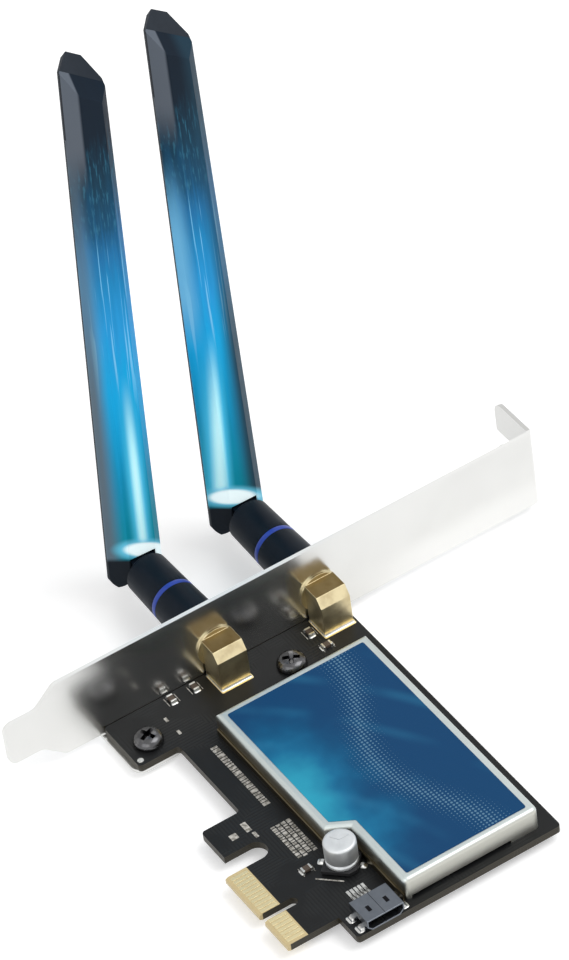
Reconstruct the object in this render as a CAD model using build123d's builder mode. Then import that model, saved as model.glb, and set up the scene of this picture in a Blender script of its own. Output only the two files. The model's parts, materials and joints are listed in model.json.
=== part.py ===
from build123d import *
import os

# A wireless network card for a one-lane expansion slot, with two hinged antennas. Sizes are in millimetres.
# The origin is the middle of the key notch, on the contact edge, halfway through the board.
# +X runs along the card away from the bracket, +Y from the contacts towards the bracket's screw tab,
# and +Z points out of the component side.

# Board
board_thickness = 1.6
board_end_x = 14.9
board_upper_y = 55.8
board_gap = 0.1  # from the board's edge to the bracket's inner face
corner_lug_y = 2.45  # lower edge of the lug beside the bracket
corner_lug_length = 13.0
recess_y = 11.15  # lower edge of the board between its lugs
hook_y = 2.6  # lower edge of the hook beside the contacts
hook_length = 8.1
relief_width = 4.5  # slot between the hook and the contacts
relief_depth = 10.4
outline_radius = 0.8

# Contact edge
key_width = 1.9
key_depth = 7.6
near_tongue = 11.65  # contact tongue on the bracket's side of the key
far_tongue = 7.65
near_contacts = 11
far_contacts = 7
contact_pitch = 1.0
first_contact_x = 1.5  # from the key's middle to the nearest contact on either side
contact_width = 0.74
contact_length = 3.6
contact_thickness = 0.05
bevel_length = 0.6
bevel_depth = 0.3

# Bracket, a folded sheet
sheet_thickness = 0.86
bracket_inner_x = -59.9
bracket_width = 18.42
bracket_length = 120.02
tab_y = 102.4  # outer face of the screw tab
tab_depth = 11.43
tab_corner = 2.6
notch_width = 4.42
notch_depth = 7.2
notch_offset = -0.6  # from the middle of the bracket's width
bend_radius = 0.3
tail_width = 10.19
tail_length = 7.2
shoulder_length = 4.6
tail_radius = 2.0
ear_width = 11.0
ear_length = 13.0
ear_corner = 2.5
ear_bend = 0.8

# Bracket screws
screw_x = -51.4
screw_ys = (7.3, 39.5)
screw_diameter = 3.0
screw_clearance = 0.15
thread_clearance = 0.03
screw_tip = 1.2  # how far the screws stand out below the ears
head_diameter = 6.0
head_height = 2.1
head_edge = 0.9  # chamfer round the top of the head
recess_length = 3.2
recess_width = 0.8
recess_depth = 1.3

# Antenna jacks
jack_ys = {"left": 28.5, "right": 51.8}
jack_height = 5.75  # axis above the board
jack_hole = 6.6
block_width = 6.5
block_length = 5.6
block_above_axis = 3.25
block_chamfer_x = 1.45
block_chamfer_z = 2.0
shoulder_diameter = 8.6
shoulder_thickness = 0.5
barrel_diameter = 6.35
barrel_length = 10.3  # from the bracket's inner face
barrel_chamfer = 0.4
jack_bore = 4.2
jack_insulator_recess = 3.7
jack_pin_diameter = 0.9
jack_pin_recess = 0.8
pin_leg_diameter = 0.8
leg_size = 0.9
leg_pitch_x = 3.8
leg_pitch_y = 5.0
leg_below_board = 1.4
hole_clearance = 0.1
fit = 0.02  # between pieces that are pressed together
washer_diameter = 9.4
washer_thickness = 0.5
washer_bore = 6.5
washer_teeth = 10
tooth_gap = 1.0
tooth_depth = 0.7
nut_across_flats = 8.0
nut_thickness = 2.0
nut_chamfer = 0.4

# Shield cover over the radio
cover_near_x = -45.0
cover_end_x = 12.9
cover_lower_y = 18.9
cover_step_y = 23.1  # lower edge past the slanted corner
cover_upper_y = 52.6
slant_start_x = -7.5
slant_end_x = -4.8
cover_height = 5.0
cover_sheet = 0.4
cover_edge_radius = 0.9
cover_corner_radius = 1.2
end_wall_lift = 0.7  # gap under the end wall, apart from its foot
end_foot_length = 6.5
label_border = 1.6
label_thickness = 0.1
label_corner = 0.4

# Pieces under the cover
radio_chip_point = (-22.0, 36.0)
radio_chip_size = 9.0
radio_chip_height = 0.9
amplifier_points = ((-37.0, 29.0), (-37.0, 45.0))
amplifier_size = 3.0
amplifier_height = 0.75
crystal_point = (-11.0, 41.0)
crystal_length = 3.2
crystal_width = 2.5
crystal_height = 0.8
crystal_corner = 0.3
regulator_point = (-2.0, 34.0)
regulator_length = 3.0
regulator_width = 1.6
regulator_height = 1.1

# Capacitor, turned an eighth of a turn on the board
capacitor_point = (-2.2, 19.0)
capacitor_turn = 45.0
can_diameter = 6.3
can_height = 5.2
can_edge = 0.5
can_groove_height = 0.9
can_groove_depth = 0.3
base_size = 6.6
base_height = 0.9
base_chamfer = 1.2
lead_width = 0.8
lead_thickness = 0.2
lead_reach = 4.1
lead_start = 1.4

# Wired connector for the companion lead
socket_y = 17.4
socket_mouth_x = 15.0
socket_width = 8.0
socket_height = 2.7
socket_length = 6.1
socket_sheet = 0.3
socket_bevel = 1.0
socket_foot_length = 1.4
socket_foot_reach = 1.1
socket_feet_x = (10.4, 13.4)
socket_back = 1.9  # depth of the plastic at the closed end
socket_tongue_length = 2.9
socket_tongue_width = 5.0
socket_tongue_thickness = 0.7
socket_tongue_drop = 0.7  # from the shell's inside to the tongue's middle
socket_contacts = 5
socket_contact_pitch = 0.8
socket_contact_width = 0.4
socket_contact_thickness = 0.15
socket_tail = 1.8

# Chip components, each as (x, y, along X or not)
chip_places = (
    (-57.9, 16.5, True),
    (-57.9, 21.6, True),
    (-56.4, 46.7, True),
    (-51.4, 47.4, False),
    (-5.0, 12.9, False),
)
chip_length = 2.0
chip_width = 1.25
chip_height = 0.6
chip_terminal = 0.4
chip_terminal_rise = 0.05

# Antenna stem
antenna_leans = {"left": 3.2, "right": 0.8}  # degrees that each antenna leans towards the screw tab
sleeve_gap = 0.5
sleeve_length = 10.6
sleeve_mouth_diameter = 10.2
sleeve_end_diameter = 9.5
sleeve_edge = 0.4
sleeve_end_wall = 1.0
coupling_inset = 0.3
coupling_diameter = 8.6
coupling_thread_length = 6.4
coupling_rear_length = 1.8
coupling_rear_diameter = 6.8
coupling_rear_bore = 4.0
plug_contact_diameter = 1.5
plug_contact_bore = 1.0
plug_contact_length = 5.2
plug_contact_depth = 3.0
plug_insulator_length = 1.6
ring_width = 1.2
spigot_diameter = 5.2
spigot_head_diameter = 6.4
spigot_head_length = 0.9
turning_clearance = 0.08
base_length = 9.9
base_start_diameter = 9.4
base_end_diameter = 9.0
base_end_chamfer = 0.5
tongue_thickness = 5.0
tongue_radius = 3.2
coax_diameter = 1.6
coax_clearance = 0.2
coax_stem_end = 1.0  # how far the stem's lead runs into the tongue

# Antenna hinge and blade
hinge_gap = 0.45
hinge_side_gap = 0.3
hinge_pin_diameter = 2.4
hinge_pin_cover = 1.4  # plastic left outside each end of the pin
slot_height = 4.0  # from the hinge's axis to the top of the slot between the lugs
blade_height = 125.4  # from the hinge's axis
blade_root_width = 11.8
blade_root_depth = 8.0
blade_root_front = 6.2
blade_tip_width = 8.7
blade_tip_depth = 6.0
blade_tip_front = 4.1
blade_side_flat = 1.0
blade_wall = 1.2
lug_corner = 2.4  # rounding of the lugs' lower corners, seen from the front
tip_cut_height = 116.9
tip_cut_direction = (0.68, 0.44, 0.59)
tip_corner_height = 123.4
tip_corner_direction = (-0.35, -0.6, 0.72)
cavity_floor = 1.6
tip_solid = 8.8  # from the top of the cavity to the slanted cut, along the axis
radiator_width = 6.0
radiator_thickness = 0.8
radiator_start = 22.0
radiator_end_gap = 3.0
rib_inset = 9.0  # from the radiator's ends
rib_width = 4.0
rib_thickness = 1.5
lead_overlap = 5.0  # of the blade's lead on the radiator

# Places that follow from the sizes above
board_top = board_thickness / 2
board_near_x = bracket_inner_x + board_gap
tongue_near_x = -key_width / 2 - near_tongue
tongue_far_x = key_width / 2 + far_tongue
relief_x = tongue_near_x - relief_width / 2
hook_x = tongue_near_x - relief_width - hook_length
contact_xs = [-first_contact_x - i * contact_pitch for i in range(near_contacts)]
contact_xs += [first_contact_x + i * contact_pitch for i in range(far_contacts)]
bracket_outer_x = bracket_inner_x - sheet_thickness
bracket_lower_z = -board_top
bracket_upper_z = bracket_lower_z + bracket_width
bracket_middle_z = bracket_lower_z + bracket_width / 2
ear_lower_z = -board_top - sheet_thickness
tail_tip_y = tab_y - bracket_length
screw_points = [(screw_x, y) for y in screw_ys]
jack_axis_z = board_top + jack_height
block_front_x = bracket_inner_x + shoulder_thickness
block_rear_x = block_front_x + block_length
block_middle_x = block_front_x + block_length / 2
block_top_z = jack_axis_z + block_above_axis
barrel_end_x = bracket_inner_x - barrel_length
washer_end_x = bracket_outer_x - washer_thickness
nut_end_x = washer_end_x - nut_thickness
cover_top_z = board_top + cover_height
sleeve_mouth_x = nut_end_x - sleeve_gap
sleeve_end_x = sleeve_mouth_x - sleeve_length
coupling_start_x = sleeve_mouth_x - coupling_inset
coupling_wall_x = coupling_start_x - coupling_thread_length
coupling_end_x = coupling_wall_x - coupling_rear_length
end_wall_x = sleeve_end_x + sleeve_end_wall
ring_end_x = sleeve_end_x - ring_width
base_end_x = ring_end_x - base_length
lug_radius = blade_root_depth / 2
hinge_x = base_end_x - hinge_gap - lug_radius
slot_half_width = tongue_thickness / 2 + hinge_side_gap
hinge_pin_length = blade_root_width - 2 * hinge_pin_cover
cavity_bottom = slot_height + cavity_floor
cavity_top = tip_cut_height - tip_solid
radiator_end = cavity_top - radiator_end_gap

os.makedirs("parts", exist_ok=True)


def write(part, name):
    """Label a finished piece and save it under its own name."""
    part.label = name
    export_step(part, f"parts/{name}.step")


# The board: one outline with its key notch, relief slot and holes
jack_leg_holes = [
    (block_middle_x + i * leg_pitch_x / 2, y + j * leg_pitch_y / 2)
    for y in jack_ys.values()
    for i in (-1, 1)
    for j in (-1, 1)
]
with BuildPart() as board:
    with BuildSketch(Plane.XY.offset(-board_top)) as board_outline:
        with BuildLine():
            Polyline(
                (board_near_x, corner_lug_y),
                (board_near_x + corner_lug_length, corner_lug_y),
                (board_near_x + corner_lug_length, recess_y),
                (hook_x, recess_y),
                (hook_x, hook_y),
                (relief_x, hook_y),
                (relief_x, 0),
                (tongue_far_x, 0),
                (tongue_far_x, recess_y),
                (board_end_x, recess_y),
                (board_end_x, board_upper_y),
                (board_near_x, board_upper_y),
                close=True,
            )
        make_face()
        fillet(board_outline.vertices().filter_by(lambda v: v.X < relief_x), radius=outline_radius)
        fillet(board_outline.vertices().group_by(Axis.X)[-1], radius=outline_radius)
        with Locations((relief_x, 0)):
            SlotOverall(2 * relief_depth, relief_width, rotation=90, mode=Mode.SUBTRACT)
        SlotOverall(2 * key_depth, key_width, rotation=90, mode=Mode.SUBTRACT)
        with Locations(*screw_points):
            Circle(screw_diameter / 2 + screw_clearance, mode=Mode.SUBTRACT)
        with Locations(*jack_leg_holes):
            Circle(leg_size / 2 * 2**0.5 + hole_clearance, mode=Mode.SUBTRACT)
        with Locations(*[(block_middle_x, y) for y in jack_ys.values()]):
            Circle(pin_leg_diameter / 2 + hole_clearance, mode=Mode.SUBTRACT)
    extrude(amount=board_thickness)
    with BuildSketch(Plane.YZ.offset(relief_x)) as bevels:
        for side in (-1, 1):
            with BuildLine():
                Polyline(
                    (0, side * board_top),
                    (bevel_length, side * board_top),
                    (0, side * (board_top - bevel_depth)),
                    close=True,
                )
            make_face()
    extrude(amount=board_end_x - relief_x, mode=Mode.SUBTRACT)
write(board.part, "circuit_board")

# Gold contacts on both faces of the tongues
contact_points = [(x, bevel_length + contact_length / 2) for x in contact_xs]
for contact_face_z, contact_name in (
    (board_top, "edge_contacts_component_side"),
    (-board_top - contact_thickness, "edge_contacts_solder_side"),
):
    with BuildPart() as contacts:
        with BuildSketch(Plane.XY.offset(contact_face_z)):
            with Locations(*contact_points):
                Rectangle(contact_width, contact_length)
        extrude(amount=contact_thickness)
    write(contacts.part, contact_name)

def ear(ear_y):
    """Ear of the bracket: bent from the sheet's edge, under the board, with its screw hole."""
    ear_end_x = bracket_inner_x + ear_length
    root_z = bracket_lower_z + ear_bend
    with BuildPart() as bent_ear:
        with BuildSketch(Plane.XZ.offset(-ear_y - ear_width / 2)) as section:
            with BuildLine():
                Polyline(
                    (bracket_outer_x, root_z),
                    (bracket_outer_x, ear_lower_z),
                    (ear_end_x, ear_lower_z),
                    (ear_end_x, -board_top),
                    (bracket_inner_x, -board_top),
                    (bracket_inner_x, root_z),
                    close=True,
                )
            make_face()
            fillet(section.vertices().sort_by_distance((bracket_outer_x, ear_lower_z))[0], radius=ear_bend)
            fillet(section.vertices().sort_by_distance((bracket_inner_x, -board_top))[0], radius=bend_radius)
        extrude(amount=ear_width)
        with BuildSketch(Plane.XY.offset(ear_lower_z)) as plan:
            with Locations(((bracket_outer_x + ear_end_x) / 2, ear_y)):
                Rectangle(ear_end_x - bracket_outer_x, ear_width)
            fillet(plan.vertices().group_by(Axis.X)[-1], radius=ear_corner)
            with Locations((screw_x, ear_y)):
                Circle(screw_diameter / 2 + thread_clearance, mode=Mode.SUBTRACT)
        extrude(amount=root_z - ear_lower_z, mode=Mode.INTERSECT)
    return bent_ear.part


# The bracket: sheet, bent screw tab and two ears under the board
with BuildPart() as bracket:
    with BuildSketch(Plane.YZ.offset(bracket_outer_x)) as sheet:
        with BuildLine():
            Polyline(
                (tail_tip_y, bracket_middle_z - tail_width / 2),
                (tail_tip_y + tail_length, bracket_middle_z - tail_width / 2),
                (tail_tip_y + tail_length + shoulder_length, bracket_lower_z),
                (tab_y, bracket_lower_z),
                (tab_y, bracket_upper_z),
                (tail_tip_y + tail_length + shoulder_length, bracket_upper_z),
                (tail_tip_y + tail_length, bracket_middle_z + tail_width / 2),
                (tail_tip_y, bracket_middle_z + tail_width / 2),
                close=True,
            )
        make_face()
        fillet(sheet.vertices().filter_by(lambda v: v.X < 0), radius=tail_radius)
        with Locations(*[(y, jack_axis_z) for y in jack_ys.values()]):
            Circle(jack_hole / 2, mode=Mode.SUBTRACT)
    extrude(amount=sheet_thickness)
    tab_end_x = bracket_outer_x - tab_depth
    with BuildSketch(Plane.XZ.offset(-tab_y)) as tab:
        with Locations(((tab_end_x + bracket_inner_x) / 2, bracket_middle_z)):
            Rectangle(tab_depth + sheet_thickness, bracket_width)
        fillet(tab.vertices().group_by(Axis.X)[0], radius=tab_corner)
        with Locations((tab_end_x, bracket_middle_z + notch_offset)):
            SlotOverall(2 * notch_depth, notch_width, mode=Mode.SUBTRACT)
    extrude(amount=sheet_thickness)
    upright_edges = bracket.edges().filter_by(Axis.Z)
    fillet(
        upright_edges.sort_by_distance((bracket_inner_x, tab_y, bracket_middle_z))[0],
        radius=bend_radius + sheet_thickness,
    )
    upright_edges = bracket.edges().filter_by(Axis.Z)
    fillet(
        upright_edges.sort_by_distance((bracket_outer_x, tab_y - sheet_thickness, bracket_middle_z))[0],
        radius=bend_radius,
    )
    for ear_y in screw_ys:
        add(ear(ear_y))
write(bracket.part, "bracket")

# Two pan head screws that hold the board to the bracket's ears
with BuildPart() as bracket_screws:
    with BuildSketch(Plane.XY.offset(board_top)):
        with Locations(*screw_points):
            Circle(head_diameter / 2)
    extrude(amount=head_height)
    chamfer(bracket_screws.edges().group_by(Axis.Z)[-1], length=head_edge)
    with BuildSketch(Plane.XY.offset(board_top + head_height)):
        with Locations(*screw_points):
            Rectangle(recess_length, recess_width)
            Rectangle(recess_width, recess_length)
    extrude(amount=-recess_depth, mode=Mode.SUBTRACT)
    with BuildSketch(Plane.XY.offset(board_top)):
        with Locations(*screw_points):
            Circle(screw_diameter / 2)
    extrude(amount=-board_thickness - sheet_thickness - screw_tip)
write(bracket_screws.part, "bracket_screws")

# Shield cover: a drawn sheet box, open below, with a lifted end wall that keeps one foot
with BuildPart() as cover:
    with BuildSketch(Plane.XY.offset(board_top)) as cover_outline:
        with BuildLine():
            Polyline(
                (cover_near_x, cover_lower_y),
                (slant_start_x, cover_lower_y),
                (slant_end_x, cover_step_y),
                (cover_end_x, cover_step_y),
                (cover_end_x, cover_upper_y),
                (cover_near_x, cover_upper_y),
                close=True,
            )
        make_face()
        fillet(cover_outline.vertices().group_by(Axis.X)[-1], radius=cover_corner_radius)
    extrude(amount=cover_height)
    fillet(cover.faces().sort_by(Axis.Z)[-1].edges(), radius=cover_edge_radius)
    offset(amount=-cover_sheet, openings=cover.faces().sort_by(Axis.Z)[0])
    lift_start_y = cover_step_y + cover_corner_radius
    lift_length = cover_upper_y - end_foot_length - lift_start_y
    with BuildSketch(Plane.YZ.offset(cover_end_x - 2 * cover_sheet)):
        with Locations((lift_start_y + lift_length / 2, board_top)):
            Rectangle(lift_length, 2 * end_wall_lift)
    extrude(amount=3 * cover_sheet, mode=Mode.SUBTRACT)
write(cover.part, "shield_cover")

# Printed label on the cover
with BuildPart() as label:
    with BuildSketch(Plane.XY.offset(cover_top_z)) as label_outline:
        with BuildLine():
            Polyline(
                (cover_near_x + label_border, cover_lower_y + label_border),
                (slant_start_x - label_border / 2, cover_lower_y + label_border),
                (slant_end_x - label_border / 2, cover_step_y + label_border),
                (cover_end_x - label_border, cover_step_y + label_border),
                (cover_end_x - label_border, cover_upper_y - label_border),
                (cover_near_x + label_border, cover_upper_y - label_border),
                close=True,
            )
        make_face()
        fillet(label_outline.vertices(), radius=label_corner)
    extrude(amount=label_thickness)
write(label.part, "cover_label")

# Radio chip and the pad that carries its heat to the cover
radio_chip_plane = Plane((*radio_chip_point, board_top))
with BuildPart() as radio_chip:
    with BuildSketch(radio_chip_plane):
        Rectangle(radio_chip_size, radio_chip_size)
    extrude(amount=radio_chip_height)
write(radio_chip.part, "radio_chip")

with BuildPart() as thermal_pad:
    with BuildSketch(radio_chip_plane.offset(radio_chip_height)):
        Rectangle(radio_chip_size, radio_chip_size)
    extrude(amount=cover_height - cover_sheet - radio_chip_height)
write(thermal_pad.part, "thermal_pad")

# Smaller chips under the cover
with BuildPart() as amplifier_chips:
    with BuildSketch(Plane.XY.offset(board_top)):
        with Locations(*amplifier_points):
            Rectangle(amplifier_size, amplifier_size)
    extrude(amount=amplifier_height)
write(amplifier_chips.part, "amplifier_chips")

with BuildPart() as crystal:
    with BuildSketch(Plane((*crystal_point, board_top))):
        RectangleRounded(crystal_length, crystal_width, crystal_corner)
    extrude(amount=crystal_height)
write(crystal.part, "crystal")

with BuildPart() as regulator:
    with BuildSketch(Plane((*regulator_point, board_top))):
        Rectangle(regulator_length, regulator_width)
    extrude(amount=regulator_height)
write(regulator.part, "regulator_chip")

# Capacitor: crimped can on a plastic base, with two flat leads
capacitor_plane = Plane((*capacitor_point, board_top)).rotated((0, 0, capacitor_turn))
base_plane = capacitor_plane.offset(lead_thickness)
can_plane = base_plane.offset(base_height)
with BuildPart() as capacitor_leads:
    with BuildSketch(capacitor_plane):
        for side in (-1, 1):
            with Locations((side * (lead_start + lead_reach) / 2, 0)):
                Rectangle(lead_reach - lead_start, lead_width)
    extrude(amount=lead_thickness)
write(capacitor_leads.part, "capacitor_leads")

with BuildPart() as capacitor_base:
    with BuildSketch(base_plane) as base_outline:
        Rectangle(base_size, base_size)
        chamfer(base_outline.vertices().group_by(Axis.X)[-1], length=base_chamfer)
    extrude(amount=base_height)
write(capacitor_base.part, "capacitor_base")

can_axis = Axis(can_plane.origin, can_plane.z_dir)
can_radius = can_diameter / 2
with BuildPart() as capacitor_can:
    with BuildSketch(Plane(origin=can_plane.origin, x_dir=(1, 0, 0), z_dir=(0, -1, 0))):
        with BuildLine():
            Polyline(
                (0, 0),
                (can_radius, 0),
                (can_radius, can_groove_height - can_groove_depth),
                (can_radius - can_groove_depth, can_groove_height),
                (can_radius, can_groove_height + can_groove_depth),
                (can_radius, can_height - can_edge),
                (can_radius - can_edge, can_height),
                (0, can_height),
                close=True,
            )
        make_face()
    revolve(axis=can_axis)
write(capacitor_can.part, "capacitor_can")

# Socket for the companion lead: folded shell, plastic tongue and contacts
socket_back_x = socket_mouth_x - socket_length
socket_plane = Plane(origin=(socket_back_x, socket_y, board_top), x_dir=(0, 1, 0), z_dir=(1, 0, 0))
with BuildPart() as socket_shell:
    with BuildSketch(socket_plane) as socket_section:
        with Locations((0, socket_height / 2)):
            Rectangle(socket_width, socket_height)
        chamfer(socket_section.vertices().group_by(Axis.Y)[0], length=socket_bevel)
        offset(amount=-socket_sheet, mode=Mode.SUBTRACT)
    extrude(amount=socket_length)
    with BuildSketch(Plane.XY.offset(board_top)):
        for foot_x in socket_feet_x:
            for side in (-1, 1):
                foot_width = socket_bevel + socket_foot_reach
                foot_y = socket_y + side * (socket_width / 2 + socket_foot_reach - foot_width / 2)
                with Locations((foot_x, foot_y)):
                    Rectangle(socket_foot_length, foot_width)
    extrude(amount=socket_sheet)
    with BuildSketch(Plane.XY.offset(board_top)):
        for foot_x in socket_feet_x:
            for side in (-1, 1):
                foot_wall_y = socket_y + side * (socket_width - socket_sheet) / 2
                with Locations((foot_x, foot_wall_y)):
                    Rectangle(socket_foot_length, socket_sheet)
    extrude(amount=socket_bevel + socket_sheet)
write(socket_shell.part, "socket_shell")

socket_tongue_z = socket_height - socket_sheet - socket_tongue_drop
with BuildPart() as socket_insulator:
    with BuildSketch(socket_plane) as back_section:
        with Locations((0, socket_height / 2)):
            Rectangle(socket_width, socket_height)
        chamfer(back_section.vertices().group_by(Axis.Y)[0], length=socket_bevel)
        offset(amount=-socket_sheet - fit, mode=Mode.REPLACE)
    extrude(amount=socket_back)
    with BuildSketch(socket_plane.offset(socket_back)):
        with Locations((0, socket_tongue_z)):
            Rectangle(socket_tongue_width, socket_tongue_thickness)
    extrude(amount=socket_tongue_length)
write(socket_insulator.part, "socket_insulator")

socket_tongue_under = socket_tongue_z - socket_tongue_thickness / 2
with BuildPart() as socket_pins:
    for i in range(socket_contacts):
        pin_y = (i - (socket_contacts - 1) / 2) * socket_contact_pitch
        with BuildSketch(socket_plane.offset(socket_back)):
            with Locations((pin_y, socket_tongue_under - socket_contact_thickness / 2)):
                Rectangle(socket_contact_width, socket_contact_thickness)
        extrude(amount=socket_tongue_length - socket_contact_width)
        with BuildSketch(socket_plane):
            with Locations((pin_y, socket_contact_thickness / 2)):
                Rectangle(socket_contact_width, socket_contact_thickness)
        extrude(amount=-socket_tail)
write(socket_pins.part, "socket_contacts")

# Chip components: bodies and their plated ends
with BuildPart() as chip_bodies:
    with BuildSketch(Plane.XY.offset(board_top + chip_terminal_rise)):
        for chip_x, chip_y, along_x in chip_places:
            body_length = chip_length - 2 * chip_terminal
            with Locations((chip_x, chip_y)):
                Rectangle(body_length, chip_width, rotation=0 if along_x else 90)
    extrude(amount=chip_height)
write(chip_bodies.part, "chip_bodies")

with BuildPart() as chip_ends:
    with BuildSketch(Plane.XY.offset(board_top)):
        for chip_x, chip_y, along_x in chip_places:
            end_offset = (chip_length - chip_terminal) / 2
            for side in (-1, 1):
                shift = (side * end_offset, 0) if along_x else (0, side * end_offset)
                with Locations((chip_x + shift[0], chip_y + shift[1])):
                    Rectangle(chip_terminal, chip_width, rotation=0 if along_x else 90)
    extrude(amount=chip_height + 2 * chip_terminal_rise)
write(chip_ends.part, "chip_ends")


def across(x, y, z):
    """Plane square to the X axis at a place, drawn on with +Y to the right and +Z up."""
    return Plane(origin=(x, y, z), x_dir=(0, 1, 0), z_dir=(1, 0, 0))


def jack_pin(jack_y, margin):
    """The jack's centre pin along the barrel and its upright leg through the board, grown by a margin."""
    pin_tip_x = barrel_end_x + jack_pin_recess
    leg_end_z = -board_top - leg_below_board
    with BuildPart() as pin:
        with BuildSketch(across(pin_tip_x, jack_y, jack_axis_z)):
            Circle(jack_pin_diameter / 2 + margin)
        extrude(amount=block_middle_x - pin_tip_x)
        with BuildSketch(Plane((block_middle_x, jack_y, leg_end_z))):
            Circle(pin_leg_diameter / 2 + margin)
        extrude(amount=jack_axis_z - leg_end_z)
    return pin.part


# Antenna jacks, each clamped through the bracket by a lock washer and a nut
for side, jack_y in jack_ys.items():
    with BuildPart() as jack_body:
        with BuildSketch(Plane.XZ.offset(-jack_y - block_width / 2)):
            with BuildLine():
                Polyline(
                    (block_front_x, board_top),
                    (block_rear_x, board_top),
                    (block_rear_x, block_top_z - block_chamfer_z),
                    (block_rear_x - block_chamfer_x, block_top_z),
                    (block_front_x, block_top_z),
                    close=True,
                )
            make_face()
        extrude(amount=block_width)
        with BuildSketch(across(bracket_inner_x, jack_y, jack_axis_z)):
            Circle(shoulder_diameter / 2)
        extrude(amount=shoulder_thickness)
        with BuildSketch(across(barrel_end_x, jack_y, jack_axis_z)):
            Circle(barrel_diameter / 2)
        extrude(amount=barrel_length)
        chamfer(jack_body.faces().sort_by(Axis.X)[0].edges(), length=barrel_chamfer)
        with BuildSketch(Plane((block_middle_x, jack_y, board_top))):
            with GridLocations(leg_pitch_x, leg_pitch_y, 2, 2):
                Rectangle(leg_size, leg_size)
        extrude(amount=-board_thickness - leg_below_board)
        with BuildSketch(across(barrel_end_x, jack_y, jack_axis_z)):
            Circle(jack_bore / 2)
        extrude(amount=block_middle_x - barrel_end_x, mode=Mode.SUBTRACT)
        with BuildSketch(Plane((block_middle_x, jack_y, board_top))):
            Circle(jack_bore / 2)
        extrude(amount=jack_height, mode=Mode.SUBTRACT)
    write(jack_body.part, f"{side}_jack_body")

    insulator_start_x = barrel_end_x + jack_insulator_recess
    pin_hole = jack_pin(jack_y, fit)
    with BuildPart() as jack_insulator:
        with BuildSketch(across(insulator_start_x, jack_y, jack_axis_z)):
            Circle(jack_bore / 2 - fit)
        extrude(amount=block_middle_x - insulator_start_x)
        with BuildSketch(Plane((block_middle_x, jack_y, board_top))):
            Circle(jack_bore / 2 - fit)
        extrude(amount=jack_height)
        add(pin_hole, mode=Mode.SUBTRACT)
    write(jack_insulator.part, f"{side}_jack_insulator")

    write(jack_pin(jack_y, 0), f"{side}_jack_pin")

    clamp_plane = Plane(origin=(bracket_outer_x, jack_y, jack_axis_z), x_dir=(0, 1, 0), z_dir=(-1, 0, 0))
    with BuildPart() as lock_washer:
        with BuildSketch(clamp_plane):
            Circle(washer_diameter / 2)
            with PolarLocations(washer_diameter / 2, washer_teeth):
                Rectangle(2 * tooth_depth, tooth_gap, mode=Mode.SUBTRACT)
            Circle(washer_bore / 2, mode=Mode.SUBTRACT)
        extrude(amount=washer_thickness)
    write(lock_washer.part, f"{side}_lock_washer")

    with BuildPart() as jack_nut:
        with BuildSketch(clamp_plane.offset(washer_thickness)):
            RegularPolygon(nut_across_flats / 2, 6, major_radius=False)
            Circle(washer_bore / 2, mode=Mode.SUBTRACT)
        extrude(amount=nut_thickness)
        with BuildSketch(clamp_plane.offset(washer_thickness)):
            Circle(nut_across_flats / 2 + nut_chamfer)
        extrude(amount=nut_thickness, mode=Mode.INTERSECT)
    write(jack_nut.part, f"{side}_jack_nut")

# One antenna, built upright around its jack's axis as the X axis and placed twice below
antenna = {}


def turned(points):
    """Solid of revolution about the X axis from (x, radius) points."""
    with BuildPart() as solid:
        with BuildSketch(Plane.XY):
            with BuildLine():
                Polyline(*points, close=True)
            make_face()
        revolve(axis=Axis.X)
    return solid.part


coupling_radius = coupling_diameter / 2
coupling_rear_radius = coupling_rear_diameter / 2
spigot_hole_radius = spigot_diameter / 2 + turning_clearance
antenna["sleeve"] = turned(
    [
        (sleeve_mouth_x, coupling_radius + fit),
        (sleeve_mouth_x, sleeve_mouth_diameter / 2 - sleeve_edge),
        (sleeve_mouth_x - sleeve_edge, sleeve_mouth_diameter / 2),
        (sleeve_end_x, sleeve_end_diameter / 2),
        (sleeve_end_x, spigot_hole_radius),
        (end_wall_x, spigot_hole_radius),
        (end_wall_x, coupling_rear_radius + fit),
        (coupling_wall_x, coupling_rear_radius + fit),
        (coupling_wall_x, coupling_radius + fit),
    ]
)
antenna["coupling_nut"] = turned(
    [
        (coupling_start_x, barrel_diameter / 2 + thread_clearance),
        (coupling_start_x, coupling_radius),
        (coupling_wall_x, coupling_radius),
        (coupling_wall_x, coupling_rear_radius),
        (coupling_end_x, coupling_rear_radius),
        (coupling_end_x, coupling_rear_bore / 2),
        (coupling_wall_x, coupling_rear_bore / 2),
        (coupling_wall_x, barrel_diameter / 2 + thread_clearance),
    ]
)
plug_contact_end_x = coupling_end_x + turning_clearance
plug_contact_start_x = plug_contact_end_x + plug_contact_length
plug_bore_end_x = plug_contact_start_x - plug_contact_depth
antenna["plug_contact"] = turned(
    [
        (plug_contact_start_x, plug_contact_bore / 2),
        (plug_contact_start_x, plug_contact_diameter / 2),
        (plug_contact_end_x, plug_contact_diameter / 2),
        (plug_contact_end_x, 0),
        (plug_bore_end_x, 0),
        (plug_bore_end_x, plug_contact_bore / 2),
    ]
)
plug_insulator_end_x = plug_contact_end_x + plug_insulator_length
antenna["plug_insulator"] = turned(
    [
        (plug_contact_end_x, plug_contact_diameter / 2 + fit),
        (plug_contact_end_x, coupling_rear_bore / 2 - fit),
        (plug_insulator_end_x, coupling_rear_bore / 2 - fit),
        (plug_insulator_end_x, plug_contact_diameter / 2 + fit),
    ]
)
ring_radius = sleeve_end_diameter / 2
antenna["ring"] = turned(
    [
        (sleeve_end_x, spigot_hole_radius),
        (sleeve_end_x, ring_radius),
        (ring_end_x + turning_clearance, ring_radius),
        (ring_end_x + turning_clearance, spigot_hole_radius),
    ]
)

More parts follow.
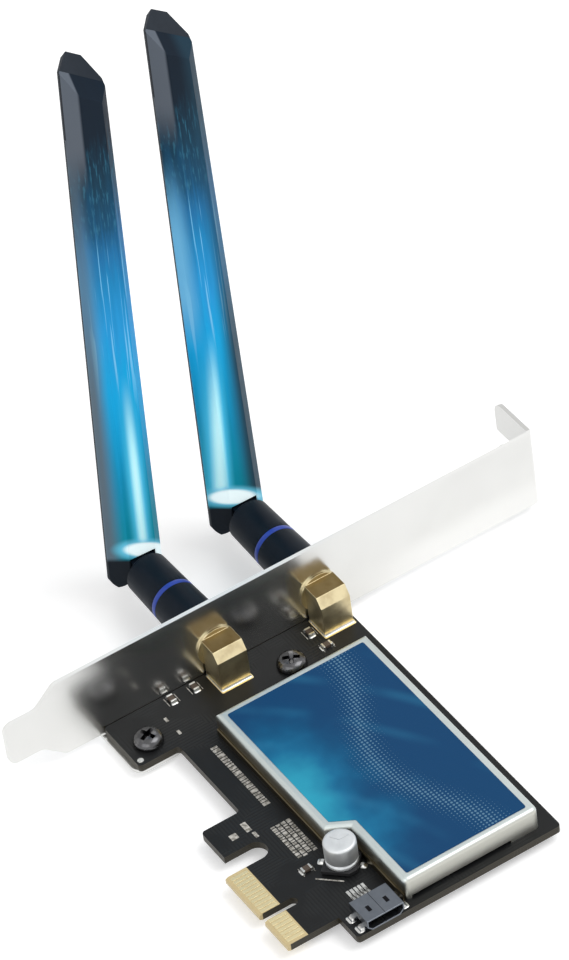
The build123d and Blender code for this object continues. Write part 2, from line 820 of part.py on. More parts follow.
# Swivel base: a spigot that turns in the sleeve, a round body and the tongue of the hinge
spigot_end_x = end_wall_x + turning_clearance + spigot_head_length
coax_hole_radius = coax_diameter / 2 + coax_clearance
base_solid = turned(
    [
        (spigot_end_x, coax_hole_radius),
        (spigot_end_x, spigot_head_diameter / 2),
        (end_wall_x + turning_clearance, spigot_head_diameter / 2),
        (end_wall_x + turning_clearance, spigot_diameter / 2),
        (ring_end_x, spigot_diameter / 2),
        (ring_end_x, base_start_diameter / 2),
        (base_end_x + base_end_chamfer, base_end_diameter / 2),
        (base_end_x, base_end_diameter / 2 - base_end_chamfer),
        (base_end_x, coax_hole_radius),
    ]
)
with BuildPart() as swivel_base:
    add(base_solid)
    with BuildSketch(Plane.XZ.offset(-tongue_thickness / 2)):
        with BuildLine():
            tongue_end = CenterArc((hinge_x, 0), tongue_radius, 90, 180)
            Polyline(
                tongue_end @ 1,
                (base_end_x, -tongue_radius),
                (base_end_x, tongue_radius),
                tongue_end @ 0,
            )
        make_face()
        with Locations((hinge_x, 0)):
            Circle(hinge_pin_diameter / 2 + turning_clearance, mode=Mode.SUBTRACT)
    extrude(amount=tongue_thickness)
    with BuildSketch(across(base_end_x - coax_stem_end, 0, 0)):
        Circle(coax_hole_radius)
    extrude(amount=coax_stem_end, mode=Mode.SUBTRACT)
antenna["swivel_base"] = swivel_base.part

with BuildPart() as stem_lead:
    with BuildSketch(across(base_end_x - coax_stem_end, 0, 0)):
        Circle(coax_diameter / 2)
    extrude(amount=plug_contact_end_x - base_end_x + coax_stem_end)
antenna["stem_lead"] = stem_lead.part

with BuildPart() as hinge_pin:
    with BuildSketch(Plane(origin=(hinge_x, hinge_pin_length / 2, 0), x_dir=(1, 0, 0), z_dir=(0, -1, 0))):
        Circle(hinge_pin_diameter / 2)
    extrude(amount=hinge_pin_length)
antenna["hinge_pin"] = hinge_pin.part


def tapered_half(root_size, tip_size, height):
    """Half of a blade size that tapers from root to tip, at a height above the hinge."""
    share = (height + lug_radius) / (blade_height + lug_radius)
    return (root_size + share * (tip_size - root_size)) / 2


def blade_section(height, inset):
    """The blade's eight-sided section at a height above the hinge, inset from its surface."""
    half_width = tapered_half(blade_root_width, blade_tip_width, height) - inset
    half_depth = tapered_half(blade_root_depth, blade_tip_depth, height) - inset
    half_front = tapered_half(blade_root_front, blade_tip_front, height) - inset / 2
    half_flat = blade_side_flat / 2
    corners = [
        (half_depth, half_front),
        (half_flat, half_width),
        (-half_flat, half_width),
        (-half_depth, half_front),
        (-half_depth, -half_front),
        (-half_flat, -half_width),
        (half_flat, -half_width),
        (half_depth, -half_front),
    ]
    with BuildSketch(Plane((hinge_x, 0, height))) as section:
        with BuildLine():
            Polyline(*corners, close=True)
        make_face()
    return section.sketch


# Blade: tapering eight-sided body, cut aslant at its tip, hollow, with two rounded lugs round the hinge
with BuildPart() as blade_cavity:
    loft([blade_section(cavity_bottom, blade_wall), blade_section(cavity_top, blade_wall)], ruled=True)

with BuildPart() as blade:
    loft([blade_section(-lug_radius, 0), blade_section(blade_height, 0)], ruled=True)
    for cut_height, cut_direction in (
        (tip_cut_height, tip_cut_direction),
        (tip_corner_height, tip_corner_direction),
    ):
        split(bisect_by=Plane(origin=(hinge_x, 0, cut_height), z_dir=cut_direction), keep=Keep.BOTTOM)
    with BuildSketch(Plane.XZ.offset(-blade_root_width / 2)):
        with BuildLine():
            lug_end = CenterArc((hinge_x, 0), lug_radius, 180, 180)
            Polyline(
                lug_end @ 1,
                (hinge_x + lug_radius, blade_height),
                (hinge_x - lug_radius, blade_height),
                lug_end @ 0,
            )
        make_face()
    extrude(amount=blade_root_width, mode=Mode.INTERSECT)
    with BuildSketch(across(hinge_x - lug_radius, 0, 0)) as front_outline:
        with Locations((0, (blade_height - lug_radius) / 2)):
            Rectangle(blade_root_width, blade_height + lug_radius)
        fillet(front_outline.vertices().group_by(Axis.Z)[0], radius=lug_corner)
    extrude(amount=2 * lug_radius, mode=Mode.INTERSECT)
    with BuildSketch(Plane((hinge_x, 0, -lug_radius))):
        Rectangle(2 * blade_root_depth, 2 * slot_half_width)
    extrude(amount=lug_radius + slot_height, mode=Mode.SUBTRACT)
    with BuildSketch(Plane.XZ.offset(-hinge_pin_length / 2)):
        with Locations((hinge_x, 0)):
            Circle(hinge_pin_diameter / 2 + fit)
    extrude(amount=hinge_pin_length, mode=Mode.SUBTRACT)
    add(blade_cavity.part, mode=Mode.SUBTRACT)
    with BuildSketch(Plane((hinge_x, 0, slot_height))):
        Circle(coax_hole_radius)
    extrude(amount=cavity_floor, mode=Mode.SUBTRACT)

with BuildPart() as blade_front:
    add(blade.part)
    split(bisect_by=Plane.YZ.offset(hinge_x), keep=Keep.TOP)
antenna["blade_front"] = blade_front.part

radiator_back_x = hinge_x - radiator_thickness / 2
with BuildPart() as blade_rear:
    add(blade.part)
    split(bisect_by=Plane.YZ.offset(hinge_x), keep=Keep.BOTTOM)
    for rib_height in (radiator_start + rib_inset, radiator_end - rib_inset):
        wall_face_x = hinge_x - tapered_half(blade_root_depth, blade_tip_depth, rib_height)
        rib_root_x = wall_face_x + blade_wall / 2
        with BuildSketch(across(rib_root_x, 0, rib_height)):
            Rectangle(rib_width, rib_thickness)
        extrude(amount=radiator_back_x - rib_root_x)
antenna["blade_rear"] = blade_rear.part

with BuildPart() as radiator:
    with BuildSketch(Plane((hinge_x, 0, radiator_start))):
        Rectangle(radiator_thickness, radiator_width)
    extrude(amount=radiator_end - radiator_start)
antenna["radiator"] = radiator.part

with BuildPart() as blade_lead:
    lead_x = hinge_x + (radiator_thickness + coax_diameter) / 2
    with BuildSketch(Plane((lead_x, 0, cavity_bottom))):
        Circle(coax_diameter / 2)
    extrude(amount=radiator_start + lead_overlap - cavity_bottom)
antenna["blade_lead"] = blade_lead.part

# Both antennas on their jacks, each with its own lean
for side, jack_y in jack_ys.items():
    seat = Location((0, jack_y, jack_axis_z), (-antenna_leans[side], 0, 0))
    for piece_name, piece in antenna.items():
        write(seat * piece, f"{side}_{piece_name}")
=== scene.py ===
import itertools
import json
import math

import bmesh
import bpy
from mathutils import Matrix, Vector


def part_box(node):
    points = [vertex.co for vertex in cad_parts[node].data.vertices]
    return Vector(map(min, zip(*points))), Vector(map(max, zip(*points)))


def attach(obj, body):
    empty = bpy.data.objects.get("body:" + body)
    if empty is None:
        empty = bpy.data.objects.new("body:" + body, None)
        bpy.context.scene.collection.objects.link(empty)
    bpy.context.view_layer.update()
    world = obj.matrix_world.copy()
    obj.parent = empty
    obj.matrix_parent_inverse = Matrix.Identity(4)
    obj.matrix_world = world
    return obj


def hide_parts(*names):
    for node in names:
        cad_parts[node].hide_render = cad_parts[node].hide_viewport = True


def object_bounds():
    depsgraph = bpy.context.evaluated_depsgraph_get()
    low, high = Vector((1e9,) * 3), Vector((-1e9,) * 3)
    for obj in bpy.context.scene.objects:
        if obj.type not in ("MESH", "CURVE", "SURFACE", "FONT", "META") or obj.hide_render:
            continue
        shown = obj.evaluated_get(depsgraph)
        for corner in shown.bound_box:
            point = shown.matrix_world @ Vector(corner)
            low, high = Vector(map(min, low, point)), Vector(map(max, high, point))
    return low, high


# Looks of a wireless network card with two hinged antennas.
# Sizes are in millimetres; MM turns them into metres.
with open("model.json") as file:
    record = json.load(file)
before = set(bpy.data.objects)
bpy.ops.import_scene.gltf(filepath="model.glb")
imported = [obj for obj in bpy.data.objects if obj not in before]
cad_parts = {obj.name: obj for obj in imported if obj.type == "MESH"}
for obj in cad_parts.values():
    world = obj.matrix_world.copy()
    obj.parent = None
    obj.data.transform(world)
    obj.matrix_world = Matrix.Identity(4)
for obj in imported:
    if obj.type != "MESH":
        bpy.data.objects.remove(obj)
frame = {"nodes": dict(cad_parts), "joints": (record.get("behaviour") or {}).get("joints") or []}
cad_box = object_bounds()
nodes = frame["nodes"]
joints = {joint["name"]: joint for joint in frame["joints"]}

MM = 0.001
SIDES = ("left", "right")

# Camera, as fitted to the photograph: angles in degrees, places in millimetres
CAMERA_AZIMUTH = 63.343
CAMERA_ELEVATION = 42.743
CAMERA_ROLL = -8.727
CAMERA_DISTANCE = 1134.9
CAMERA_TARGET = (-95.486, 65.971, 0.8)
SENSOR_WIDTH = 36.0
FOCAL_SHARE = 6.0312  # focal length over the long side of the picture

# Light levels
WORLD_WHITE = 1.0
WORLD_AMBIENT = 0.62
FLOOR_COLOUR = 0.86
FLOOR_LIFT = 0.34
FLOOR_SIZE = 6000.0
FLOOR_GAP = 0.05
LAMP_TARGET = (-40.0, 40.0, 30.0)
KEY_LAMP = {"place": (250.0, 520.0, 900.0), "size": 700.0, "energy": 5.0}
FILL_LAMP = {"place": (420.0, -620.0, 520.0), "size": 800.0, "energy": 2.2}

# Smoothing and edges
SHARP_ANGLE = 40.0  # edges that turn further than this, in degrees, stay sharp
ROUND_ANGLE = 50.0  # the same on rounded pieces
WELD_DISTANCE = 1e-7  # in metres
FLAT_ANGLE = 0.4
BEVEL_ANGLE = 28.0
BEVEL_SEGMENTS = 2

# Board and cover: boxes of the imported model, and the cover's slanted corner
board_low, board_high = (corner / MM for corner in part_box("circuit_board"))
cover_low, cover_high = (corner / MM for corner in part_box("shield_cover"))
BOARD_TOP = board_high.z
BOARD_UNDER = board_low.z
SLANT_START = -7.5  # where the cover's lower wall ends in its slanted corner
SLANT_END = -4.8
STEP_Y = 23.1  # lower wall of the cover past the slanted corner

# Screws
SCREW_HEAD_PROFILE = (
    (0.9, 2.09),
    (1.6, 2.0),
    (2.15, 1.82),
    (2.55, 1.52),
    (2.82, 1.1),
    (2.96, 0.62),
    (2.99, 0.2),
    (2.9, 0.0),
)
SCREW_SEGMENTS = 48
SCREW_TURNS = (22.0, 61.0)
SHANK_RADIUS = 1.5
THREAD_ROOT = 1.24
THREAD_PITCH = 0.5
THREAD_STEPS = 6  # rings for each turn of the thread
RECESS_TOP = (1.85, 0.48)  # reach and half width of the cross at the top of the head
RECESS_FLOOR = (0.9, 0.24)
RECESS_DEPTH = 1.3
RECESS_ARMS = 4
CUT_OVERSHOOT = 0.1

# Capacitor can
CAN_RADIUS = 3.15
CAN_SEGMENTS = 64
CAN_EDGE = 0.55
CAN_GROOVE_LOW = 0.55
CAN_GROOVE_HIGH = 1.3
CAN_GROOVE_DEPTH = 0.33
CAN_FOOT_ROUND = 0.12
CAN_GROOVE_STEPS = 8
CAN_EDGE_STEPS = 6
VENT_REACH = 2.1
VENT_HALF = 0.07
VENT_DEPTH = 0.08
VENT_ARMS = 3
CAPACITOR_TURN = math.radians(45)

# Solder and pads. Sizes in pairs are half lengths along X and Y.
CORNER_STEPS = 4
PAD_THICKNESS = 0.03
SOLDER_LEVELS = (0.0, 0.3, 0.55, 0.78, 0.92, 1.0)
MOUND_CORNER_SHARE = 0.6  # largest corner of a mound, as a share of its half length
CHIP_SOLDER_REACH = 0.32
CHIP_SOLDER_MARGIN = 0.1
CHIP_SOLDER_RISE = 0.75  # share of the chip's height
CHIP_CLEARANCE = 0.02
CAPACITOR_LEAD_END = 3.95  # from the middle of the can
CAPACITOR_SOLDER_FOOT = (0.75, 0.75)
CAPACITOR_SOLDER_TOP = (0.35, 0.35)
CAPACITOR_SOLDER_BACK = 0.2
CAPACITOR_SOLDER_RISE = 0.42
SOCKET_FEET_X = (10.4, 13.4)
SOCKET_FOOT_INSET = 0.35
SOCKET_FOOT_SOLDER = (0.95, 0.75)
SOCKET_TOP_INSET = 0.75
SOCKET_TOP_SOLDER = (0.6, 0.35)
SOCKET_SOLDER_RISE = 0.62
TAIL_GAP = 0.1  # contacts that start lower than this above the board have a tail on it
TAIL_PAD_LENGTH = 3.4
TAIL_PAD_WIDTH = 0.58
TAIL_PAD_OVERLAP = 0.4
TAIL_FOOT_SHIFT = -0.95  # from the end of a contact's tail
TAIL_FOOT_SOLDER = (1.5, 0.27)
TAIL_TOP_SHIFT = 0.1
TAIL_TOP_SOLDER = (0.75, 0.2)
TAIL_SOLDER_RISE = 0.4
LUG_PAD = (-48.1, 3.5)  # small round pad in the board's corner, past the lower screw
LUG_PAD_RADIUS = 0.62
JACK_BLOCK = (5.6, 6.5)  # length and width of a jack's block on the board
JACK_PAD_FRONT = 0.7  # how far the plated pad stands out in front of the block
JACK_PAD_SIDE = 0.3
JACK_SOLDER_FRONT = 0.42
JACK_SOLDER_SIDE = 0.2
JACK_SOLDER_RISE = 0.4
JACK_SOLDER_CORNER = 0.2
JACK_PAD_CORNER = 0.3
JACK_CLEARANCE = 0.01
LEG_SPACING = (3.8, 5.0)
LEG_RADII = (1.25, 0.66)  # solder round a jack's leg: at the board and at its tip
PIN_RADII = (1.0, 0.42)
LEG_SOLDER_START = 0.03
LEG_SOLDER_LENGTH = 1.1
LEG_SEGMENTS = 24

# Board prints
PRINT_THICKNESS = 0.02
BAR_LENGTHS = (0.55, 0.8, 0.35, 0.95, 0.5, 0.7, 0.4)
BAR_GAP = 0.22
LONG_ROW = {"start": -42.4, "end": -23.6, "y": 16.1, "width": 1.4}
SHORT_ROWS_Y = (13.7, 14.8, 15.9, 17.0)
SHORT_ROW = {"start": -18.0, "end": -8.4, "width": 0.86}
MARKS = (  # middle and half lengths
    ((-21.1, 9.9), (1.3, 0.55)),
    ((-18.4, 10.3), (0.8, 0.35)),
    ((-20.4, 6.8), (0.75, 0.75)),
    ((-54.1, 12.9), (0.6, 0.3)),
    ((-49.8, 13.1), (0.6, 0.3)),
)
CAPACITOR_LINE_OUT = 4.3  # from the middle of the can
CAPACITOR_LINE_REACH = (-4.2, 1.2)
CAPACITOR_LINE_WIDTH = 0.3
CHIP_LINE_OUT = 1.15
CHIP_LINE_HALF = 1.2
CHIP_LINE_WIDTH = 0.14

# Frame under the shield cover
FRAME_RISE = 1.55
FRAME_STAND_OUT = 0.42
FRAME_EDGE = 0.12
FRAME_MARGIN = 0.4  # between the ends of the frame and the corners of the cover
FRAME_SHARP_ANGLE = 25.0

# Painted light on the blades: a blue glow that fades upwards, with streaks, flecks, haze, shade, a facet
# highlight, a pale core and a bright band, all painted into the colour. Places across a blade run from -1 to
# 1, heights are above the hinge.
BLADE_ROOT_HALF = 5.85
BLADE_TAPER = 0.012
BLADE_FRONT = 3.97  # how far the front face stands before the hinge
BLADE_HEIGHT = 124.0
BLADE_LIGHT = (  # share of the height, and colour
    (0.08, (0.006, 0.290, 0.410)),
    (0.18, (0.009, 0.290, 0.505)),
    (0.27, (0.009, 0.355, 0.667)),
    (0.37, (0.011, 0.415, 0.805)),
    (0.47, (0.027, 0.345, 0.735)),
    (0.57, (0.020, 0.253, 0.538)),
    (0.63, (0.022, 0.178, 0.402)),
    (0.69, (0.016, 0.092, 0.190)),
    (0.76, (0.014, 0.052, 0.092)),
    (0.84, (0.012, 0.021, 0.034)),
    (1.0, (0.012, 0.018, 0.028)),
)
BLADE_FLICKER = 22.0  # how far the edges of the light wander up and down
BLADE_DARK = (0.012, 0.016, 0.022)
FACET_ZONE = (92.0, 104.0)
STREAK_ZONE = (36.0, 54.0, 72.0, 92.0)  # heights where it starts, is full, begins to fade and ends
FLECK_ZONE = (72.0, 84.0, 96.0, 106.0)
HAZE_ZONE = (42.0, 58.0, 70.0, 92.0)
HAZE = {"left": 0.25, "right": 0.85}
# Painted shade towards one edge of each blade; on the left blade it is a pale grey, a painted highlight on
# that facet.
SHADE_START = {"left": -0.55, "right": -0.1}
SHADE_END = {"left": -0.95, "right": 0.55}
SHADE_FADE = (84.0, 40.0)
SHADE_COLOUR = {"left": (0.125, 0.175, 0.22), "right": (0.024, 0.062, 0.095)}
CORE_PLACE = {"left": 0.07, "right": -0.75}
CORE_SLANT = {"left": 0.0, "right": 0.008}
CORE_FADE = (50.0, 22.0)
CORE_GLOW = 0.2
BAND_LEVEL = {"left": 5.2, "right": 5.4}  # height of the bright band on the middle of the front face
BAND_PLACE = {"left": 1.2, "right": -2.1}  # of its middle, in millimetres along the band
BAND_SLANT = (-0.77, 0.53)  # the band lies in a slanted plane: rise towards the front and across
BAND_RUN = (0.54, 0.84)  # direction along the band, towards the front and across
BAND_HALF = (5.6, 2.4)  # half its length and height
BAND_GLOW = 0.34
SLOT_REACH = 4.6  # the slot in the foot lies within these millimetres; its walls get none of the painted glow


# Mesh helpers, all in millimetres


def new_piece(name, shape, finish, body, sharp_angle=SHARP_ANGLE):
    """Turn a bmesh in millimetres into an object that rides on a CAD body."""
    bmesh.ops.recalc_face_normals(shape, faces=shape.faces)
    mesh = bpy.data.meshes.new(name)
    shape.to_mesh(mesh)
    shape.free()
    mesh.transform(Matrix.Scale(MM, 4))
    mesh.shade_smooth()
    mesh.set_sharp_from_angle(angle=math.radians(sharp_angle))
    mesh.materials.append(finish)
    made = bpy.data.objects.new(name, mesh)
    bpy.context.scene.collection.objects.link(made)
    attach(made, body)
    return made


def add_rings(shape, rings, closed_start=True, closed_end=True):
    """Join rings of equally many points into a tube, with or without caps."""
    loops = [[shape.verts.new(point) for point in ring] for ring in rings]
    count = len(loops[0])
    for low, high in zip(loops, loops[1:]):
        for i in range(count):
            j = (i + 1) % count
            shape.faces.new((low[i], low[j], high[j], high[i]))
    if closed_start:
        shape.faces.new(loops[0][::-1])
    if closed_end:
        shape.faces.new(loops[-1])


def circle(centre, radius, z, segments):
    """Ring of points round an upright axis."""
    step = math.tau / segments
    return [
        (centre[0] + radius * math.cos(i * step), centre[1] + radius * math.sin(i * step), z)
        for i in range(segments)
    ]


def rounded_ring(centre, half, corner, z, turn=0.0):
    """Ring of points round a rectangle with rounded corners, turned by an angle."""
    points = []
    cosine, sine = math.cos(turn), math.sin(turn)
    corner = min(corner, half[0], half[1])
    for quarter, (sx, sy) in enumerate(((1, 1), (-1, 1), (-1, -1), (1, -1))):
        for i in range(CORNER_STEPS + 1):
            angle = (quarter + i / CORNER_STEPS) * math.pi / 2
            x = sx * (half[0] - corner) + corner * math.cos(angle)
            y = sy * (half[1] - corner) + corner * math.sin(angle)
            points.append((centre[0] + x * cosine - y * sine, centre[1] + x * sine + y * cosine, z))
    return points


def add_plate(shape, centre, half, z, thickness, corner=0.05, turn=0.0):
    """Thin plate that lies flat on a surface at z."""
    add_rings(
        shape,
        [
            rounded_ring(centre, half, corner, z, turn),
            rounded_ring(centre, half, corner, z + thickness, turn),
        ],
    )


def add_strip(shape, start, end, width, z, thickness):
    """Straight printed line between two points of a surface."""
    run = Vector(end) - Vector(start)
    centre = (Vector(start) + Vector(end)) / 2
    add_plate(shape, centre, (run.length / 2, width / 2), z, thickness, width / 4, math.atan2(run.y, run.x))


def star_ring(centre, arms, reach, half, z, turn=0.0):
    """Ring of points round a star of straight arms, such as a cross."""
    points = []
    for i in range(arms):
        angle = turn + i * math.tau / arms
        along = Vector((math.cos(angle), math.sin(angle)))
        aside = Vector((-along.y, along.x))
        inner = angle + math.pi / arms
        inner_reach = half / math.sin(math.pi / arms)
        for point in (
            along * reach - aside * half,
            along * reach + aside * half,
            Vector((math.cos(inner), math.sin(inner))) * inner_reach,
        ):
            points.append((centre[0] + point.x, centre[1] + point.y, z))
    return points


def add_mound(shape, foot_centre, foot_half, top_centre, top_half, z, height, turn=0.0, corner=0.4):
    """Solder that rises in a hollow curve from its pad to a lead or foot."""
    rings = []
    for level in SOLDER_LEVELS:
        centre = Vector(foot_centre).lerp(Vector(top_centre), level)
        half = Vector(foot_half).lerp(Vector(top_half), level)
        rounding = min(corner, MOUND_CORNER_SHARE * min(half))
        rings.append(rounded_ring(centre, half, rounding, z + height * level**2, turn))
    add_rings(shape, rings)


def solids_of(name):
    """Lowest and highest corner, in millimetres, of each separate solid in a CAD node."""
    shape = bmesh.new()
    shape.from_mesh(nodes[name].data)
    bmesh.ops.remove_doubles(shape, verts=shape.verts, dist=WELD_DISTANCE)
    seen = set()
    boxes = []
    for first in shape.verts:
        if first in seen:
            continue
        seen.add(first)
        found = [first]
        for vertex in found:
            for edge in vertex.link_edges:
                other = edge.other_vert(vertex)
                if other not in seen:
                    seen.add(other)
                    found.append(other)
        low = Vector([min(v.co[k] for v in found) for k in range(3)]) / MM
        high = Vector([max(v.co[k] for v in found) for k in range(3)]) / MM
        boxes.append((low, high))
    shape.free()
    return boxes


def cut_away(target, cutter_shape):
    """Cut a bmesh out of an object and keep the result as its mesh."""
    mesh = bpy.data.meshes.new("cutter")
    bmesh.ops.recalc_face_normals(cutter_shape, faces=cutter_shape.faces)
    cutter_shape.to_mesh(mesh)
    cutter_shape.free()
    mesh.transform(Matrix.Scale(MM, 4))
    cutter = bpy.data.objects.new("cutter", mesh)
    bpy.context.scene.collection.objects.link(cutter)
    cut = target.modifiers.new("cut", "BOOLEAN")
    cut.operation = "DIFFERENCE"
    cut.solver = "EXACT"
    cut.object = cutter
    bpy.context.view_layer.update()
    graph = bpy.context.evaluated_depsgraph_get()
    finished = bpy.data.meshes.new_from_object(target.evaluated_get(graph))
    target.modifiers.clear()
    target.data = finished
    finished.shade_smooth()
    finished.set_sharp_from_angle(angle=math.radians(SHARP_ANGLE))
    bpy.data.objects.remove(cutter)


# Material helper


class Finish:
    """A procedural material with one Principled shader and textures placed in millimetres on the object."""

    def __init__(self, name, colour, roughness, metallic=0.0, sockets=None):
        self.material = bpy.data.materials.new(name)
        self.material.use_nodes = True
        self.tree = self.material.node_tree
        self.shader = self.tree.nodes["Principled BSDF"]
        self.shader.inputs["Base Color"].default_value = (*colour, 1.0)
        self.shader.inputs["Roughness"].default_value = roughness
        self.shader.inputs["Metallic"].default_value = metallic
        for socket, value in (sockets or {}).items():
            self.shader.inputs[socket].default_value = value
        self.place = self.tree.nodes.new("ShaderNodeTexCoord")
        self.position = self.add(
            "ShaderNodeVectorMath", {0: self.place.outputs["Object"], "Scale": 1 / MM}, operation="SCALE"
        )

    def add(self, kind, inputs, output=0, **properties):
        """Add a node, set its properties, fill or link its inputs and return one of its outputs."""
        node = self.tree.nodes.new(kind)
        for name, value in properties.items():
            setattr(node, name, value)
        for key, value in inputs.items():
            if isinstance(value, bpy.types.NodeSocket):
                self.tree.links.new(value, node.inputs[key])
            else:
                node.inputs[key].default_value = value
        return node.outputs[output]

    def link(self, value, socket):
        self.tree.links.new(value, self.shader.inputs[socket])

    def part(self, vector, axis):
        """One coordinate of a vector, 0 for X, 1 for Y and 2 for Z."""
        return self.add("ShaderNodeSeparateXYZ", {0: vector}, output=axis)

    def facing(self, axis):
        """One coordinate of the surface's direction."""
        return self.part(self.place.outputs["Normal"], axis)

    def math(self, operation, *values):
        return self.add("ShaderNodeMath", dict(enumerate(values)), operation=operation)

    def times(self, first, second):
        return self.math("MULTIPLY", first, second)

    def plus(self, first, second):
        return self.math("ADD", first, second)

    def minus(self, first, second):
        return self.math("SUBTRACT", first, second)

    def distance(self, first, second):
        """Length of a step with two parts at right angles."""
        squares = self.plus(self.math("POWER", first, 2.0), self.math("POWER", second, 2.0))
        return self.math("SQRT", squares)

    def noise(self, scale, detail=3.0, stretch=(1.0, 1.0, 1.0), vector=None):
        """Noise from 0 to 1, with a scale in cycles per millimetre."""
        stretched = self.add(
            "ShaderNodeVectorMath", {0: vector or self.position, 1: stretch}, operation="MULTIPLY"
        )
        return self.add("ShaderNodeTexNoise", {"Vector": stretched, "Scale": scale, "Detail": detail})

    def step(self, value, low, high):
        """Smooth rise from 0 at low to 1 at high; a fall where low is the larger."""
        return self.add(
            "ShaderNodeMapRange",
            {"Value": value, "From Min": low, "From Max": high, "To Min": 0.0, "To Max": 1.0},
            interpolation_type="SMOOTHSTEP",
        )

    def zone(self, value, start, low, high, end):
        """Smooth rise from start to low and fall from high to end."""
        return self.times(self.step(value, end, high), self.step(value, start, low))

    def span(self, value, low, high):
        """Spread a value from 0 to 1 over the range from low to high."""
        return self.add(
            "ShaderNodeMapRange",
            {"Value": value, "From Min": 0.0, "From Max": 1.0, "To Min": low, "To Max": high},
        )

    def mix(self, factor, first, second):
        """Blend two colours."""
        inputs = {0: factor}
        for key, colour in ((6, first), (7, second)):
            inputs[key] = colour if isinstance(colour, bpy.types.NodeSocket) else (*colour, 1.0)
        return self.add("ShaderNodeMix", inputs, output=2, data_type="RGBA")

    def ramp(self, factor, stops):
        """Colour along a row of (place, colour) stops."""
        node = self.tree.nodes.new("ShaderNodeValToRGB")
        self.tree.links.new(factor, node.inputs[0])
        stops_made = node.color_ramp.elements
        while len(stops_made) < len(stops):
            stops_made.new(0.5)
        for made, (place, colour) in zip(stops_made, stops):
            made.position = place
            made.color = (*colour, 1.0)
        return node.outputs[0]

    def bump(self, height, depth, strength=1.0):
        """Raise the surface by up to a depth in millimetres."""
        normal = self.add("ShaderNodeBump", {"Height": height, "Distance": depth * MM, "Strength": strength})
        self.link(normal, "Normal")

    def vary_roughness(self, low, high, scale, stretch=(1.0, 1.0, 1.0)):
        self.link(self.span(self.noise(scale, 4.0, stretch), low, high), "Roughness")


# Materials


def board_finish():
    """Black solder mask over faint traces, with bare laminate by the contacts and on the cut edges."""
    look = Finish("board_mask", (0.008, 0.0085, 0.009), 0.34, sockets={"Specular IOR Level": 0.22})
    cells = look.add(
        "ShaderNodeTexVoronoi", {"Vector": look.position, "Scale": 0.16}, output=1, distance="MANHATTAN"
    )
    pick = look.add("ShaderNodeSeparateColor", {0: cells})
    x, y, z = (look.part(look.position, axis) for axis in range(3))
    trace_pitch = 0.7
    along_x = look.math("PINGPONG", y, trace_pitch / 2)
    along_y = look.math("PINGPONG", x, trace_pitch / 2)
    chosen = look.math("GREATER_THAN", pick, 0.5)
    lines = look.add("ShaderNodeMix", {0: chosen, 2: along_x, 3: along_y})
    traces = look.step(lines, 0.13, 0.19)
    pours = look.step(look.noise(0.07, 2.0), 0.46, 0.54)
    copper = look.times(traces, pours)
    mask = look.mix(copper, (0.007, 0.0075, 0.008), (0.0115, 0.0125, 0.013))
    contacts_low, contacts_high = (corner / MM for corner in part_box("edge_contacts_component_side"))
    bare_below = contacts_high.y + 0.35
    margin = 1.0
    by_contacts = look.times(
        look.math("GREATER_THAN", x, contacts_low.x - margin),
        look.math("LESS_THAN", x, contacts_high.x + margin),
    )
    bare = look.times(look.step(y, bare_below + 0.05, bare_below - 0.05), by_contacts)
    weave = look.noise(2.2, 3.0)
    laminate = look.mix(weave, (0.66, 0.54, 0.30), (0.54, 0.43, 0.23))
    faces = look.mix(bare, mask, laminate)
    edge = look.step(look.math("ABSOLUTE", look.facing(2)), 0.97, 0.93)
    layers = look.step(look.math("PINGPONG", z, 0.2), 0.05, 0.15)
    core = look.mix(layers, (0.022, 0.019, 0.013), (0.045, 0.039, 0.026))
    bevel_below = board_low.y + 0.7
    bevel = look.times(look.step(y, bevel_below + 0.05, bevel_below - 0.05), by_contacts)
    edges = look.mix(bevel, core, laminate)
    look.link(look.mix(edge, faces, edges), "Base Color")
    look.vary_roughness(0.28, 0.44, 0.25)
    grain = look.times(look.noise(5.0, 2.0), 0.12)
    look.bump(look.plus(copper, grain), 0.025, 0.6)
    return look.material


def contact_finish():
    """Smooth bright gold plating with faint clouds."""
    look = Finish("contact_gold", (0.86, 0.74, 0.44), 0.3, 1.0)
    look.link(look.mix(look.noise(0.5, 3.0), (0.88, 0.76, 0.46), (0.80, 0.68, 0.39)), "Base Color")
    look.vary_roughness(0.26, 0.36, 0.7)
    look.bump(look.noise(1.5, 2.0), 0.001, 0.3)
    return look.material


def jack_finish():
    """Gold-plated casting, darkened towards brown on its upward faces by painted shade, with thread lines
    outside the bracket.
    """
    look = Finish("jack_gold", (0.70, 0.58, 0.32), 0.34, 1.0)
    patches = look.step(look.noise(0.3, 4.0), 0.42, 0.75)
    upward = look.step(look.facing(2), 0.9, 0.98)
    # Painted shade: faces that look upwards turn darker and browner.
    painted_top_shade = look.times(upward, look.span(look.noise(0.25, 3.0), 0.8, 1.0))
    plating = look.mix(look.times(patches, 0.45), (0.80, 0.69, 0.43), (0.32, 0.22, 0.09))
    look.link(look.mix(painted_top_shade, plating, (0.08, 0.045, 0.006)), "Base Color")
    look.vary_roughness(0.26, 0.42, 0.9)
    x = look.part(look.position, 0)
    thread_start = board_low.x - 1.3
    half_pitch = 0.35
    ridges = look.math("PINGPONG", x, half_pitch)
    threaded = look.step(x, thread_start, thread_start - 0.1)
    scratches = look.times(look.noise(3.0, 4.0, (1.0, 6.0, 6.0)), 0.006)
    look.bump(look.plus(scratches, look.times(ridges, threaded)), 0.3, 0.8)
    return look.material


